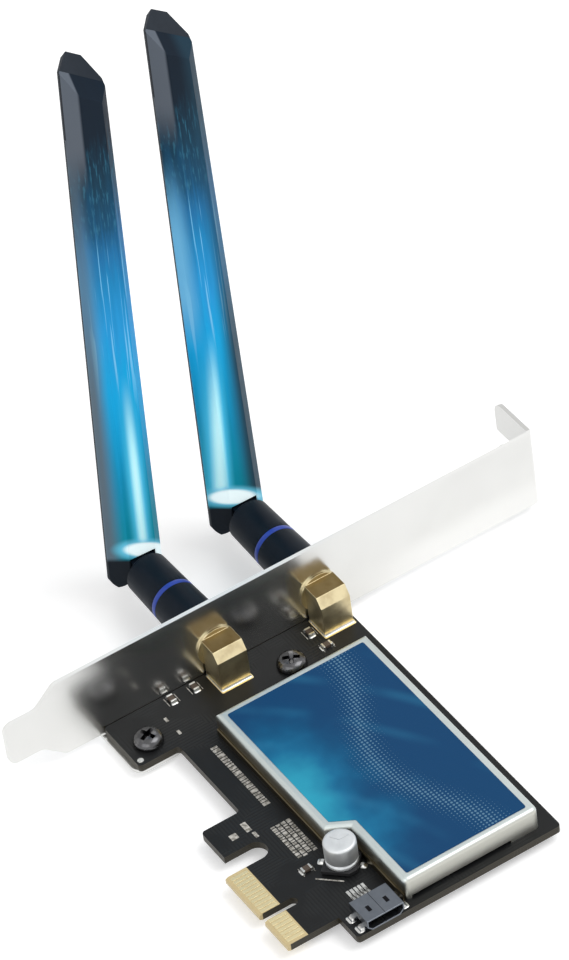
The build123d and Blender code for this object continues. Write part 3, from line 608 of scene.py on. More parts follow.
def plated_steel_finish():
    """Bright plated sheet: a painted reflection makes it paler low down past the jacks, painted shade makes
    the screw tab darker, and it is dull where it is cut.
    """
    look = Finish("plated_steel", (0.78, 0.78, 0.77), 0.18, 1.0)
    clouds = look.step(look.noise(0.05, 3.0), 0.3, 0.8)
    upper = look.mix(clouds, (0.71, 0.71, 0.695), (0.66, 0.66, 0.645))
    # Painted reflection: low down past the jacks the sheet is paler.
    low_down = look.step(look.part(look.position, 2), 8.0, 2.0)
    past_jacks_painted_reflection = look.step(look.part(look.position, 1), 58.0, 78.0)
    face = look.mix(look.times(low_down, past_jacks_painted_reflection), upper, (0.75, 0.75, 0.735))
    along_x = look.math("ABSOLUTE", look.facing(0))
    tab_depth = 11.3
    sheet_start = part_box("bracket")[0].x / MM + tab_depth
    sheet_end = board_low.x + 0.05
    x = look.part(look.position, 0)
    past_start = look.math("GREATER_THAN", x, sheet_start)
    # Painted shade: the screw tab, before the sheet starts, is darker.
    sheet = look.mix(past_start, (0.61, 0.61, 0.595), face)
    in_sheet = look.times(past_start, look.math("LESS_THAN", x, sheet_end))
    cut = look.times(look.step(along_x, 0.7, 0.4), in_sheet)
    look.link(look.mix(cut, sheet, (0.78, 0.78, 0.765)), "Base Color")
    smooth = look.span(look.noise(0.12, 3.0), 0.18, 0.25)
    look.link(look.add("ShaderNodeMix", {0: cut, 2: smooth, 3: 0.6}), "Roughness")
    look.bump(look.noise(1.0, 3.0, (4.0, 0.12, 4.0)), 0.003, 0.3)
    return look.material


def screw_steel_finish():
    """Dark plated screws, slightly brighter where the driver has worn them."""
    look = Finish("screw_steel", (0.16, 0.16, 0.165), 0.22, 1.0)
    wear = look.step(look.noise(0.8, 2.0), 0.5, 0.8)
    look.link(look.mix(wear, (0.10, 0.10, 0.104), (0.20, 0.196, 0.192)), "Base Color")
    look.vary_roughness(0.18, 0.28, 1.0)
    look.bump(look.noise(6.0, 3.0), 0.002, 0.3)
    return look.material


def tin_plate_finish():
    """Tinned sheet: satin and cloudy, with a painted darker, warmer reflection on its end wall and a painted
    dark reflection of the board low on the walls that face the contacts.
    """
    look = Finish("tin_plate", (0.60, 0.64, 0.63), 0.42, 1.0)
    clouds = look.noise(0.18, 4.0)
    bright = look.mix(clouds, (0.615, 0.668, 0.66), (0.515, 0.557, 0.54))
    # Painted reflection: walls facing +X are darker and warmer.
    end_wall_reflection = look.step(look.facing(0), 0.5, 0.9)
    tin_with_end_reflection = look.mix(end_wall_reflection, bright, (0.55, 0.55, 0.50))
    # Painted reflection of the dark board: low on the walls facing the contacts the tin turns dark brown.
    towards_contacts = look.step(look.facing(1), -0.5, -0.9)
    low_down = look.step(look.part(look.position, 2), 5.6, 3.6)
    board_reflection_paint = look.times(towards_contacts, low_down)
    look.link(look.mix(board_reflection_paint, tin_with_end_reflection, (0.22, 0.205, 0.165)), "Base Color")
    look.vary_roughness(0.36, 0.48, 0.4)
    look.bump(look.noise(2.0, 3.0), 0.002, 0.3)
    return look.material


def label_finish():
    """Printed label: deep blue, a teal glow at its lower edge, sweeping lines and a faint band of dots."""
    look = Finish("label_print", (0.006, 0.058, 0.153), 0.34, sockets={"Specular IOR Level": 0.1})
    x, y = (look.part(look.position, axis) for axis in range(2))
    glow_middle = (-15.0, 19.5)
    glow_reach = (27.0, 17.0)
    glow_x = look.math("DIVIDE", look.minus(x, glow_middle[0]), glow_reach[0])
    glow_y = look.math("DIVIDE", look.minus(y, glow_middle[1]), glow_reach[1])
    drift = look.times(look.minus(look.noise(0.09, 3.0), 0.5), 0.9)
    glow = look.step(look.plus(look.distance(glow_x, glow_y), drift), 1.15, 0.0)
    ground = look.ramp(
        glow,
        (
            (0.0, (0.0060, 0.055, 0.150)),
            (0.25, (0.0065, 0.088, 0.205)),
            (0.55, (0.0110, 0.150, 0.300)),
            (1.0, (0.0300, 0.340, 0.490)),
        ),
    )
    sweep_middle = (34.0, -46.0)
    arc_gap = 4.5
    sweep = look.distance(
        look.minus(x, sweep_middle[0]),
        look.minus(y, sweep_middle[1]),
    )
    arcs = look.step(look.math("PINGPONG", sweep, arc_gap), 2.6, arc_gap)
    veil = look.times(arcs, look.step(look.noise(0.05, 2.0), 0.4, 0.7))
    swept = look.mix(look.times(veil, 0.3), ground, (0.03, 0.20, 0.36))
    pitch = 1.5
    row = look.minus(look.math("PINGPONG", x, pitch / 2), pitch / 4)
    column = look.minus(look.math("PINGPONG", y, pitch / 2), pitch / 4)
    band_y = 40.0
    band_half = 5.0
    band_wave = 4.5
    largest_dot = 0.25
    bend = look.times(look.math("SINE", look.times(x, 0.11)), band_wave)
    off_band = look.math("ABSOLUTE", look.minus(look.minus(y, band_y), bend))
    dot_size = look.add(
        "ShaderNodeMapRange",
        {"Value": off_band, "From Min": 0.0, "From Max": band_half, "To Min": largest_dot, "To Max": 0.0},
    )
    dots = look.step(look.minus(look.distance(row, column), dot_size), 0.04, -0.04)
    look.link(look.mix(look.times(dots, 0.3), swept, (0.35, 0.62, 0.76)), "Base Color")
    look.vary_roughness(0.28, 0.40, 0.3)
    look.bump(look.noise(1.5, 3.0), 0.002, 0.3)
    return look.material


def plastic_finish(name, colour, roughness, grain=6.0, depth=0.012, specular=0.3):
    """Moulded plastic with a fine grain and slightly uneven gloss."""
    look = Finish(name, colour, roughness, sockets={"Specular IOR Level": specular})
    lighter = tuple(min(1.0, part * 1.35 + 0.002) for part in colour)
    look.link(look.mix(look.noise(0.5, 4.0), colour, lighter), "Base Color")
    look.vary_roughness(roughness - 0.06, roughness + 0.08, 0.4)
    look.bump(look.noise(grain, 3.0), depth, 0.6)
    return look.material


def metal_finish(name, colour, low, high, grain=3.0, depth=0.008):
    """Plain metal with cloudy gloss and a fine grain."""
    look = Finish(name, colour, (low + high) / 2, 1.0)
    darker = tuple(part * 0.8 for part in colour)
    look.link(look.mix(look.noise(0.7, 4.0), colour, darker), "Base Color")
    look.vary_roughness(low, high, 0.8)
    look.bump(look.noise(grain, 4.0), depth, 0.5)
    return look.material


def print_finish():
    """Pale board print, slightly worn."""
    look = Finish("board_print", (0.46, 0.44, 0.40), 0.6, sockets={"Specular IOR Level": 0.2})
    worn = look.step(look.noise(1.6, 4.0), 0.35, 0.65)
    look.link(look.mix(worn, (0.20, 0.19, 0.165), (0.56, 0.54, 0.50)), "Base Color")
    look.bump(look.noise(7.0, 2.0), 0.01, 0.5)
    return look.material


def socket_finish():
    """Nickel-plated shell with two dark latch windows and a seam in its top."""
    look = Finish("socket_steel", (0.15, 0.165, 0.19), 0.34, 1.0)
    x, y = (look.part(look.position, axis) for axis in range(2))
    low, high = (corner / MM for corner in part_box("socket_insulator"))
    middle = (low.y + high.y) / 2
    aside = look.math("ABSOLUTE", look.minus(y, middle))
    upward = look.math("GREATER_THAN", look.facing(2), 0.9)
    window_inset = 3.4
    window_aside = 1.9
    window_y = look.step(look.math("ABSOLUTE", look.minus(aside, window_aside)), 0.42, 0.36)
    window_x = look.step(look.math("ABSOLUTE", look.minus(x, low.x + window_inset)), 0.8, 0.74)
    window = look.times(look.times(window_x, window_y), upward)
    seam = look.times(look.step(aside, 0.07, 0.03), upward)
    plating = look.mix(look.noise(0.6, 4.0), (0.17, 0.185, 0.21), (0.12, 0.135, 0.155))
    gaps = look.math("MAXIMUM", window, seam)
    look.link(look.mix(gaps, plating, (0.012, 0.012, 0.014)), "Base Color")
    look.vary_roughness(0.28, 0.42, 0.8)
    look.bump(look.minus(1.0, gaps), 0.08, 0.5)
    return look.material


def blade_place(look, side):
    """Place on a blade in millimetres from its hinge: to the front, across and up the leaning blade."""
    hinge = joints[f"{side}_tilt"]
    lean = math.atan2(hinge["axis"][2], -hinge["axis"][1])
    return look.add(
        "ShaderNodeMapping",
        {
            "Vector": look.place.outputs["Object"],
            "Location": hinge["pos_m"],
            "Rotation": (-lean, 0.0, 0.0),
            "Scale": (MM, MM, MM),
        },
        vector_type="TEXTURE",
    )


def blade_ground(look, local, height):
    """Painted blue glow that fades upwards unevenly, with painted light streaks in its middle and painted
    flecks of light below the dark tip.
    """
    flicker = look.minus(look.noise(0.16, 4.0, (0.0, 5.0, 0.25), local), 0.5)
    level = look.plus(height, look.times(flicker, BLADE_FLICKER))
    light = look.ramp(look.math("DIVIDE", level, BLADE_HEIGHT), BLADE_LIGHT)
    streak_noise = look.noise(0.5, 2.0, (0.0, 3.0, 0.06), local)
    streaks = look.times(look.step(streak_noise, 0.58, 0.66), look.zone(height, *STREAK_ZONE))
    streaked = look.mix(look.times(streaks, 0.75), light, (0.26, 0.66, 0.96))
    fleck_noise = look.noise(0.8, 3.0, (0.0, 3.0, 0.35), local)
    painted_flecks = look.times(look.step(fleck_noise, 0.52, 0.68), look.zone(height, *FLECK_ZONE))
    return look.mix(look.times(painted_flecks, 0.5), streaked, (0.05, 0.22, 0.34))


def blade_sides(look, side, ground, height, across):
    """Painted haze and painted shade towards one edge of the blade, and a painted highlight that makes the
    facet below its tip paler.
    """
    haze = look.times(look.step(across, -0.45, -0.9), look.zone(height, *HAZE_ZONE))
    hazed = look.mix(look.times(haze, HAZE[side]), ground, (0.21, 0.58, 0.86))
    shade = look.step(across, SHADE_START[side], SHADE_END[side])
    strength = look.span(look.step(height, *SHADE_FADE), 0.55, 1.0)
    shaded = look.mix(look.times(shade, strength), hazed, SHADE_COLOUR[side])
    # Painted highlight: the facet below the tip is a paler grey.
    facet_highlight_paint = look.times(look.step(across, -0.48, -0.58), look.step(height, *FACET_ZONE))
    return look.mix(facet_highlight_paint, shaded, (0.120, 0.140, 0.170))


def blade_band(look, side, local, height):
    """Places along and above the bright band at the foot, which lies in a slanted plane."""
    depth = look.minus(look.part(local, 0), BLADE_FRONT)
    aside = look.part(local, 1)

    def towards(direction):
        to_front = look.times(depth, direction[0])
        return look.plus(to_front, look.times(aside, direction[1]))

    rise = look.minus(look.plus(height, towards(BAND_SLANT)), BAND_LEVEL[side])
    run = look.minus(towards(BAND_RUN), BAND_PLACE[side])
    return run, rise


def blade_finish(side):
    """Black moulding with a painted blue glow: streaks above, a pale core and a bright band at the foot, the
    core and band also emitting light.
    """
    sockets = {"Specular IOR Level": 0.04, "Emission Color": (0.78, 0.94, 1.0, 1.0)}
    look = Finish(f"{side}_blade_glow_paint", (0.014, 0.021, 0.033), 0.5, sockets=sockets)
    local = blade_place(look, side)
    aside, height = look.part(local, 1), look.part(local, 2)
    half_width = look.minus(BLADE_ROOT_HALF, look.times(height, BLADE_TAPER))
    across = look.math("DIVIDE", aside, half_width)
    sided = blade_sides(look, side, blade_ground(look, local, height), height, across)

    band_run, band_rise = blade_band(look, side, local, height)
    # Painted glow: a pale core runs up the foot of the blade.
    core_middle = look.plus(look.times(height, CORE_SLANT[side]), CORE_PLACE[side])
    off_core = look.math("ABSOLUTE", look.minus(across, core_middle))
    core_zone = look.times(look.step(height, *CORE_FADE), look.step(band_rise, -1.0, 1.0))
    glow = look.times(look.step(off_core, 0.5, 0.1), core_zone)
    glowing = look.mix(glow, sided, (0.10, 0.68, 1.0))
    core = look.times(look.step(off_core, 0.26, 0.0), core_zone)
    cored = look.mix(core, glowing, (0.50, 0.95, 1.0))

    # Painted glow: a bright band with a halo at the foot.
    run_share = look.math("DIVIDE", band_run, BAND_HALF[0])
    rise_share = look.math("DIVIDE", band_rise, BAND_HALF[1])
    off_band = look.distance(run_share, rise_share)
    footed = look.mix(look.step(band_rise, -1.8, -3.2), cored, BLADE_DARK)
    haloed = look.mix(look.step(off_band, 1.4, 0.8), footed, (0.16, 0.66, 0.90))
    band = look.step(off_band, 0.95, 0.6)
    painted_light_colour = look.mix(band, haloed, (0.88, 1.0, 1.0))

    # Faces inside the slot get none of the painted glow.
    forward = look.math("GREATER_THAN", look.facing(0), 0.2)
    outside = look.math("GREATER_THAN", look.math("ABSOLUTE", aside), SLOT_REACH)
    open_to_glow = look.math("MAXIMUM", outside, forward)
    look.link(look.mix(open_to_glow, BLADE_DARK, painted_light_colour), "Base Color")
    # The painted core and band also emit light, though the blade is no lamp.
    core_shine = look.times(core, CORE_GLOW)
    shine = look.math("MAXIMUM", core_shine, look.times(band, BAND_GLOW))
    look.link(look.times(shine, open_to_glow), "Emission Strength")
    look.vary_roughness(0.42, 0.56, 0.3)
    look.bump(look.noise(5.0, 3.0), 0.010, 0.5)
    return look.material


board_mask = board_finish()
contact_gold = contact_finish()
jack_gold = jack_finish()
plated_steel = plated_steel_finish()
screw_steel = screw_steel_finish()
tin_plate = tin_plate_finish()
label_print = label_finish()
board_print = print_finish()
chip_plastic = plastic_finish("chip_plastic", (0.018, 0.018, 0.019), 0.5, 9.0)
pad_silicone = plastic_finish("pad_silicone", (0.25, 0.27, 0.30), 0.75, 3.0, 0.03)
can_aluminium = metal_finish("can_aluminium", (0.70, 0.72, 0.73), 0.48, 0.62, 3.0, 0.003)
base_plastic = plastic_finish("base_plastic", (0.014, 0.014, 0.015), 0.45)
solder = metal_finish("solder", (0.68, 0.68, 0.66), 0.2, 0.38, 2.0, 0.03)
frame_tin = metal_finish("frame_tin", (0.14, 0.115, 0.07), 0.26, 0.4)
socket_steel = socket_finish()
ceramic = plastic_finish("ceramic", (0.075, 0.055, 0.042), 0.42)
white_plastic = plastic_finish("white_plastic", (0.72, 0.72, 0.69), 0.4)
socket_black = plastic_finish("socket_black", (0.016, 0.016, 0.017), 0.42)
antenna_plastic = plastic_finish("antenna_plastic", (0.003, 0.0065, 0.012), 0.42, specular=0.1)
blade_plastic = plastic_finish("blade_plastic", (0.013, 0.018, 0.026), 0.44, specular=0.16)
ring_plastic = plastic_finish("ring_plastic", (0.020, 0.050, 0.300), 0.32)
lead_jacket = plastic_finish("lead_jacket", (0.02, 0.02, 0.02), 0.5)
# Painted glow for the front halves of the blades, one material for each side.
blade_glow_paint = {side: blade_finish(side) for side in SIDES}


# CAD nodes keep their shape: each gets its material, and a fine bevel along its edges


def dress(name, finish, bevel=0.0):
    """Give a CAD node its material and, where it shows, a bevel in millimetres."""
    node = nodes[name]
    node.data.materials.clear()
    node.data.materials.append(finish)
    if not bevel:
        return
    weld = node.modifiers.new("weld", "WELD")
    weld.merge_threshold = WELD_DISTANCE
    flat = node.modifiers.new("flat", "DECIMATE")
    flat.decimate_type = "DISSOLVE"
    flat.angle_limit = math.radians(FLAT_ANGLE)
    edge = node.modifiers.new("edge", "BEVEL")
    edge.width = bevel * MM
    edge.segments = BEVEL_SEGMENTS
    edge.limit_method = "ANGLE"
    edge.angle_limit = math.radians(BEVEL_ANGLE)
    smooth = node.modifiers.new("smooth", "WEIGHTED_NORMAL")
    smooth.keep_sharp = True


dress("circuit_board", board_mask, 0.05)
dress("edge_contacts_component_side", contact_gold, 0.015)
dress("edge_contacts_solder_side", contact_gold, 0.015)
dress("bracket", plated_steel, 0.1)
dress("shield_cover", tin_plate)
dress("cover_label", label_print)
dress("radio_chip", chip_plastic, 0.06)
dress("thermal_pad", pad_silicone, 0.15)
dress("amplifier_chips", chip_plastic, 0.05)
dress("crystal", tin_plate, 0.06)
dress("regulator_chip", chip_plastic, 0.05)
dress("capacitor_base", base_plastic, 0.12)
dress("capacitor_leads", solder, 0.03)
dress("socket_shell", socket_steel, 0.07)
dress("socket_insulator", socket_black, 0.06)
dress("socket_contacts", contact_gold, 0.02)
dress("chip_bodies", ceramic, 0.05)
dress("chip_ends", solder, 0.06)
for side in SIDES:
    dress(f"{side}_jack_body", jack_gold, 0.12)
    dress(f"{side}_jack_insulator", white_plastic)
    dress(f"{side}_jack_pin", contact_gold)
    dress(f"{side}_lock_washer", plated_steel, 0.06)
    dress(f"{side}_jack_nut", jack_gold, 0.1)
    dress(f"{side}_sleeve", antenna_plastic, 0.15)
    dress(f"{side}_coupling_nut", contact_gold)
    dress(f"{side}_plug_contact", contact_gold)
    dress(f"{side}_plug_insulator", white_plastic)
    dress(f"{side}_ring", ring_plastic, 0.12)
    dress(f"{side}_swivel_base", antenna_plastic, 0.15)
    dress(f"{side}_stem_lead", lead_jacket)
    dress(f"{side}_hinge_pin", plated_steel)
    dress(f"{side}_blade_front", blade_glow_paint[side], 0.08)
    dress(f"{side}_blade_rear", blade_plastic, 0.08)
    dress(f"{side}_radiator", board_mask)
    dress(f"{side}_blade_lead", lead_jacket)


# Screws: domed heads with a cross recess and a threaded shank


def screw_shape(centre, shank_end):
    """Domed head on a shank with a helical thread."""
    shape = bmesh.new()
    rings = [circle(centre, radius, BOARD_TOP + z, SCREW_SEGMENTS) for radius, z in SCREW_HEAD_PROFILE]
    count = math.ceil((BOARD_TOP - shank_end) / THREAD_PITCH * THREAD_STEPS)
    for k in range(count + 1):
        z = BOARD_TOP + (shank_end - BOARD_TOP) * k / count
        ring = []
        for i in range(SCREW_SEGMENTS):
            turn = i / SCREW_SEGMENTS
            phase = (z / THREAD_PITCH + turn) % 1.0
            radius = THREAD_ROOT + (SHANK_RADIUS - THREAD_ROOT) * (1 - abs(2 * phase - 1))
            angle = turn * math.tau
            ring.append((centre[0] + radius * math.cos(angle), centre[1] + radius * math.sin(angle), z))
        rings.append(ring)
    add_rings(shape, rings)
    return shape


def recess_cutter(centre, turn):
    """Tapering cross that cuts the driver's recess."""
    shape = bmesh.new()
    top = BOARD_TOP + SCREW_HEAD_PROFILE[0][1]
    add_rings(
        shape,
        [
            star_ring(centre, RECESS_ARMS, *RECESS_FLOOR, top - RECESS_DEPTH, turn),
            star_ring(centre, RECESS_ARMS, *RECESS_TOP, top + CUT_OVERSHOOT, turn),
        ],
    )
    return shape


screw_boxes = sorted(solids_of("bracket_screws"), key=lambda box: box[0].y)
for name, (low, high), turn in zip(("lower_screw", "upper_screw"), screw_boxes, SCREW_TURNS):
    centre = (low + high) / 2
    made = new_piece(name, screw_shape(centre, low.z), screw_steel, "card")
    cut_away(made, recess_cutter(centre, math.radians(turn)))
    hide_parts("bracket_screws")

# Capacitor can: rolled top edge, crimped groove and a scored vent
can_low, can_high = (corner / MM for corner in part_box("capacitor_can"))
can_centre = (can_low + can_high) / 2
can_height = can_high.z - can_low.z


def can_profile():
    """(radius, height) points from the foot of the can to the middle of its top."""
    points = [(CAN_RADIUS - CAN_FOOT_ROUND, 0.0), (CAN_RADIUS, CAN_FOOT_ROUND)]
    for i in range(CAN_GROOVE_STEPS + 1):
        share = i / CAN_GROOVE_STEPS
        z = CAN_GROOVE_LOW + share * (CAN_GROOVE_HIGH - CAN_GROOVE_LOW)
        points.append((CAN_RADIUS - CAN_GROOVE_DEPTH * math.sin(math.pi * share) ** 2, z))
    for i in range(CAN_EDGE_STEPS + 1):
        angle = i / CAN_EDGE_STEPS * math.pi / 2
        rise = CAN_EDGE * math.sin(angle)
        points.append((CAN_RADIUS - CAN_EDGE + CAN_EDGE * math.cos(angle), can_height - CAN_EDGE + rise))
    return points


can_shape = bmesh.new()
can_rings = [circle(can_centre, radius, can_low.z + z, CAN_SEGMENTS) for radius, z in can_profile()]
add_rings(can_shape, can_rings)
can = new_piece("capacitor_can_rolled", can_shape, can_aluminium, "card", ROUND_ANGLE)
vent = bmesh.new()
vent_rings = [
    star_ring(can_centre, VENT_ARMS, VENT_REACH, VENT_HALF, can_high.z + shift, math.pi / 2)
    for shift in (-VENT_DEPTH, VENT_DEPTH)
]
add_rings(vent, vent_rings)
cut_away(can, vent)
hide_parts("capacitor_can")

# Solder: at the chip ends, capacitor leads, socket feet and tails, and round the jacks' blocks
solder_shape = bmesh.new()
chip_centres = [(low + high) / 2 for low, high in solids_of("chip_bodies")]
for low, high in solids_of("chip_ends"):
    centre, half = (low + high) / 2, (high - low) / 2
    chip = min(chip_centres, key=lambda other: (other - centre).length)
    outward = (centre - chip).xy.normalized()
    foot = centre.xy + outward * CHIP_SOLDER_REACH / 2
    along = Vector((abs(outward.x), abs(outward.y)))
    foot_half = half.xy + along * CHIP_SOLDER_REACH / 2 + Vector((CHIP_SOLDER_MARGIN, CHIP_SOLDER_MARGIN))
    top_half = half.xy + Vector((CHIP_CLEARANCE, CHIP_CLEARANCE))
    rise = CHIP_SOLDER_RISE * (high.z - low.z)
    add_mound(solder_shape, foot, foot_half, centre.xy, top_half, BOARD_TOP, rise)

for low, high in solids_of("capacitor_leads"):
    outward = ((low + high) / 2 - can_centre).xy.normalized()
    lead_end = can_centre.xy + outward * CAPACITOR_LEAD_END
    add_mound(
        solder_shape,
        lead_end,
        CAPACITOR_SOLDER_FOOT,
        lead_end - outward * CAPACITOR_SOLDER_BACK,
        CAPACITOR_SOLDER_TOP,
        BOARD_TOP,
        CAPACITOR_SOLDER_RISE,
        CAPACITOR_TURN,
    )

socket_low, socket_high = (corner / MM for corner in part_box("socket_shell"))
for foot_x in SOCKET_FEET_X:
    for foot_y, inward in ((socket_low.y, 1), (socket_high.y, -1)):
        add_mound(
            solder_shape,
            (foot_x, foot_y + inward * SOCKET_FOOT_INSET),
            SOCKET_FOOT_SOLDER,
            (foot_x, foot_y + inward * SOCKET_TOP_INSET),
            SOCKET_TOP_SOLDER,
            BOARD_TOP,
            SOCKET_SOLDER_RISE,
        )
tails = [box for box in solids_of("socket_contacts") if box[0].z < BOARD_TOP + TAIL_GAP]
for low, high in tails:
    y = (low.y + high.y) / 2
    pad_middle = (low.x + TAIL_PAD_OVERLAP - TAIL_PAD_LENGTH / 2, y)
    pad_half = (TAIL_PAD_LENGTH / 2, TAIL_PAD_WIDTH / 2)
    add_plate(solder_shape, pad_middle, pad_half, BOARD_TOP, PAD_THICKNESS)
    foot = (low.x + TAIL_FOOT_SHIFT, y)
    top = (low.x + TAIL_TOP_SHIFT, y)
    add_mound(solder_shape, foot, TAIL_FOOT_SOLDER, top, TAIL_TOP_SOLDER, BOARD_TOP, TAIL_SOLDER_RISE)

lug_pad_half = (LUG_PAD_RADIUS, LUG_PAD_RADIUS)
add_plate(solder_shape, LUG_PAD, lug_pad_half, BOARD_TOP, PAD_THICKNESS, LUG_PAD_RADIUS)

pads = bmesh.new()
jack_boxes = {side: [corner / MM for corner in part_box(f"{side}_jack_body")] for side in SIDES}
for low, high in jack_boxes.values():
    y = (low.y + high.y) / 2
    block_length, block_width = JACK_BLOCK
    block_middle = (high.x - block_length / 2, y)
    block_half = (block_length / 2 + JACK_CLEARANCE, block_width / 2 + JACK_CLEARANCE)
    pad_middle = (block_middle[0] + JACK_PAD_FRONT / 2, y)
    pad_half = ((block_length + JACK_PAD_FRONT) / 2, block_width / 2 + JACK_PAD_SIDE)
    add_plate(pads, pad_middle, pad_half, BOARD_TOP, PAD_THICKNESS, JACK_PAD_CORNER)
    add_mound(
        solder_shape,
        (block_middle[0] + JACK_SOLDER_FRONT / 2, y),
        ((block_length + JACK_SOLDER_FRONT) / 2, block_width / 2 + JACK_SOLDER_SIDE),
        block_middle,
        block_half,
        BOARD_TOP,
        JACK_SOLDER_RISE,
        corner=JACK_SOLDER_CORNER,
    )
new_piece("solder_joints", solder_shape, solder, "card", ROUND_ANGLE)
new_piece("plated_pads", pads, contact_gold, "card")

# The cover sits in a soldered frame, which stands out along its lower walls
frame_shape = bmesh.new()
frame_section = (
    (0.0, BOARD_TOP),
    (FRAME_STAND_OUT, BOARD_TOP),
    (FRAME_STAND_OUT, BOARD_TOP + FRAME_RISE - FRAME_EDGE),
    (FRAME_STAND_OUT - FRAME_EDGE, BOARD_TOP + FRAME_RISE),
    (0.0, BOARD_TOP + FRAME_RISE),
)
lower_walls = (
    (cover_low.y, cover_low.x, SLANT_START),
    (STEP_Y, SLANT_END, cover_high.x),
)
for wall_y, wall_start, wall_end in lower_walls:
    ends = (wall_start + FRAME_MARGIN, wall_end - FRAME_MARGIN)
    add_rings(frame_shape, [[(x, wall_y - out, z) for out, z in frame_section] for x in ends])
new_piece("cover_frame", frame_shape, frame_tin, "card", FRAME_SHARP_ANGLE)

# Solder cones round the jacks' legs and pins, under the board
leg_shape = bmesh.new()
for low, high in jack_boxes.values():
    jack_y = (low.y + high.y) / 2
    block_x = high.x - JACK_BLOCK[0] / 2
    half_x, half_y = (spacing / 2 for spacing in LEG_SPACING)
    legs = [(block_x + i * half_x, jack_y + j * half_y, *LEG_RADII) for i in (-1, 1) for j in (-1, 1)]
    legs.append((block_x, jack_y, *PIN_RADII))
    for x, y, pad_radius, leg_radius in legs:
        rings = [circle((x, y), pad_radius, BOARD_UNDER, LEG_SEGMENTS)]
        for level in SOLDER_LEVELS:
            radius = pad_radius + (leg_radius - pad_radius) * level
            z = BOARD_UNDER - LEG_SOLDER_START - LEG_SOLDER_LENGTH * level**2
            rings.append(circle((x, y), radius, z, LEG_SEGMENTS))
        add_rings(leg_shape, rings)
new_piece("leg_solder", leg_shape, solder, "card", ROUND_ANGLE)

# Board prints: rows of plain bars, marks and lines
prints = bmesh.new()
bar_lengths = itertools.cycle(BAR_LENGTHS)


def add_bar_row(start, end, y, width):
    """Row of printed bars of uneven length along the X axis."""
    x = start
    while x < end:
        length = next(bar_lengths)
        add_plate(prints, (x + length / 2, y), (length / 2, width / 2), BOARD_TOP, PRINT_THICKNESS)
        x += length + BAR_GAP


add_bar_row(**LONG_ROW)
for row_y in SHORT_ROWS_Y:
    add_bar_row(y=row_y, **SHORT_ROW)
for centre, half in MARKS:
    add_plate(prints, centre, half, BOARD_TOP, PRINT_THICKNESS)
capacitor_side = Vector((math.cos(CAPACITOR_TURN), math.sin(CAPACITOR_TURN)))
capacitor_out = Vector((capacitor_side.y, -capacitor_side.x))
line_middle = can_centre.xy + CAPACITOR_LINE_OUT * capacitor_out
line_start, line_end = (line_middle + reach * capacitor_side for reach in CAPACITOR_LINE_REACH)
add_strip(prints, line_start, line_end, CAPACITOR_LINE_WIDTH, BOARD_TOP, PRINT_THICKNESS)
for chip in chip_centres:
    for shift in (-CHIP_LINE_OUT, CHIP_LINE_OUT):
        line_start = (chip.x - CHIP_LINE_HALF, chip.y + shift)
        line_end = (chip.x + CHIP_LINE_HALF, chip.y + shift)
        add_strip(prints, line_start, line_end, CHIP_LINE_WIDTH, BOARD_TOP, PRINT_THICKNESS)
new_piece("board_prints", prints, board_print, "card")


# Stage, light and camera


def pale_rays(tree):
    """1 for camera, glossy and transmission rays, and 0 for the rest."""
    path = tree.nodes.new("ShaderNodeLightPath")
    total = path.outputs["Is Camera Ray"]
    for name in ("Is Glossy Ray", "Is Transmission Ray"):
        either = tree.nodes.new("ShaderNodeMath")
        either.operation = "MAXIMUM"
        tree.links.new(total, either.inputs[0])
        tree.links.new(path.outputs[name], either.inputs[1])
        total = either.outputs[0]
    return total


def add_floor():
    """White floor that keeps the shadow and looks white to the camera and in metal."""
    mesh = bpy.data.meshes.new("floor")
    half = FLOOR_SIZE / 2 * MM
    level = cad_box[0].z - FLOOR_GAP * MM
    corners = [(-half, -half, level), (half, -half, level), (half, half, level), (-half, half, level)]
    mesh.from_pydata(corners, [], [(0, 1, 2, 3)])
    floor = bpy.data.objects.new("floor", mesh)
    bpy.context.scene.collection.objects.link(floor)
    material = bpy.data.materials.new("floor")
    material.use_nodes = True
    tree = material.node_tree
    shader = tree.nodes["Principled BSDF"]
    shader.inputs["Base Color"].default_value = (FLOOR_COLOUR, FLOOR_COLOUR, FLOOR_COLOUR, 1)
    shader.inputs["Roughness"].default_value = 1.0
    shader.inputs["Specular IOR Level"].default_value = 0.0
    shader.inputs["Emission Color"].default_value = (1, 1, 1, 1)
    lift = tree.nodes.new("ShaderNodeMath")
    lift.operation = "MULTIPLY"
    lift.inputs[1].default_value = FLOOR_LIFT
    tree.links.new(pale_rays(tree), lift.inputs[0])
    tree.links.new(lift.outputs[0], shader.inputs["Emission Strength"])
    mesh.materials.append(material)


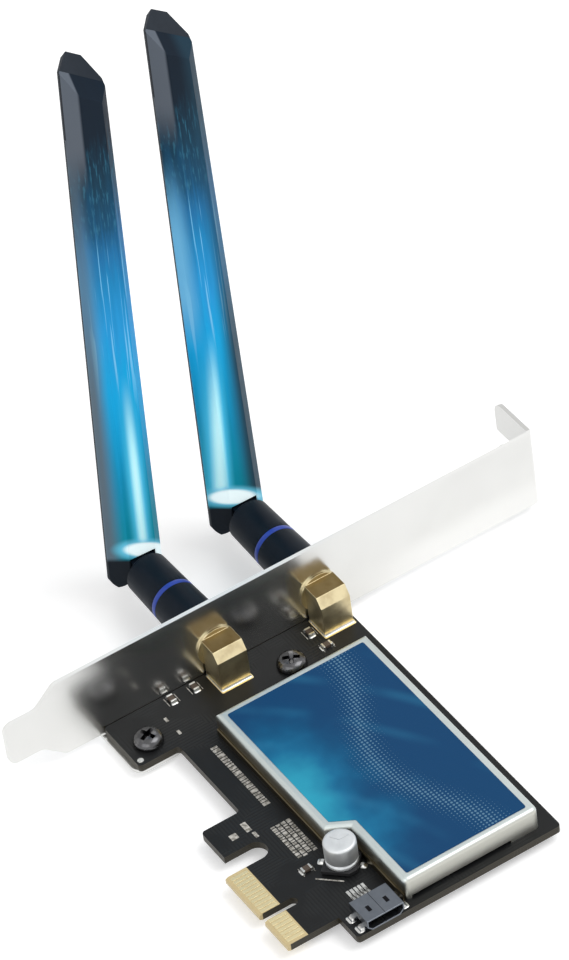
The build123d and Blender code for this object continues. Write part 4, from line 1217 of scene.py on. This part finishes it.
def add_world():
    """White surroundings, dimmer where they only light the object."""
    world = bpy.data.worlds.new("studio")
    bpy.context.scene.world = world
    world.use_nodes = True
    tree = world.node_tree
    background = tree.nodes["Background"]
    background.inputs["Color"].default_value = (1, 1, 1, 1)
    level = tree.nodes.new("ShaderNodeMapRange")
    level.inputs["To Min"].default_value = WORLD_AMBIENT
    level.inputs["To Max"].default_value = WORLD_WHITE
    tree.links.new(pale_rays(tree), level.inputs["Value"])
    tree.links.new(level.outputs[0], background.inputs["Strength"])


def add_lamp(name, place, size, energy):
    """Square soft lamp that looks at the object, with its place and size in millimetres."""
    data = bpy.data.lights.new(name, "AREA")
    data.shape = "SQUARE"
    data.size = size * MM
    data.energy = energy
    lamp = bpy.data.objects.new(name, data)
    bpy.context.scene.collection.objects.link(lamp)
    lamp.location = Vector(place) * MM
    lamp.rotation_euler = (Vector(LAMP_TARGET) - Vector(place)).to_track_quat("-Z", "Y").to_euler()


def add_camera():
    """Camera at the photograph's angle, turned about its own axis by the roll."""
    azimuth, elevation, roll = (math.radians(a) for a in (CAMERA_AZIMUTH, CAMERA_ELEVATION, CAMERA_ROLL))
    flat = math.cos(elevation)
    back = Vector((math.sin(azimuth) * flat, -math.cos(azimuth) * flat, math.sin(elevation)))
    level = Vector((math.cos(azimuth), math.sin(azimuth), 0))
    upright = back.cross(level)
    right = level * math.cos(roll) + upright * math.sin(roll)
    up = upright * math.cos(roll) - level * math.sin(roll)
    data = bpy.data.cameras.new("camera")
    data.sensor_width = SENSOR_WIDTH
    data.lens = FOCAL_SHARE * SENSOR_WIDTH
    camera = bpy.data.objects.new("camera", data)
    bpy.context.scene.collection.objects.link(camera)
    turn = Matrix((right, up, back)).transposed().to_4x4()
    place = (Vector(CAMERA_TARGET) + back * CAMERA_DISTANCE) * MM
    camera.matrix_world = Matrix.Translation(place) @ turn
    bpy.context.scene.camera = camera


add_floor()
add_world()
add_lamp("key", **KEY_LAMP)
add_lamp("fill", **FILL_LAMP)
add_camera()
bpy.context.scene.view_settings.view_transform = "Standard"
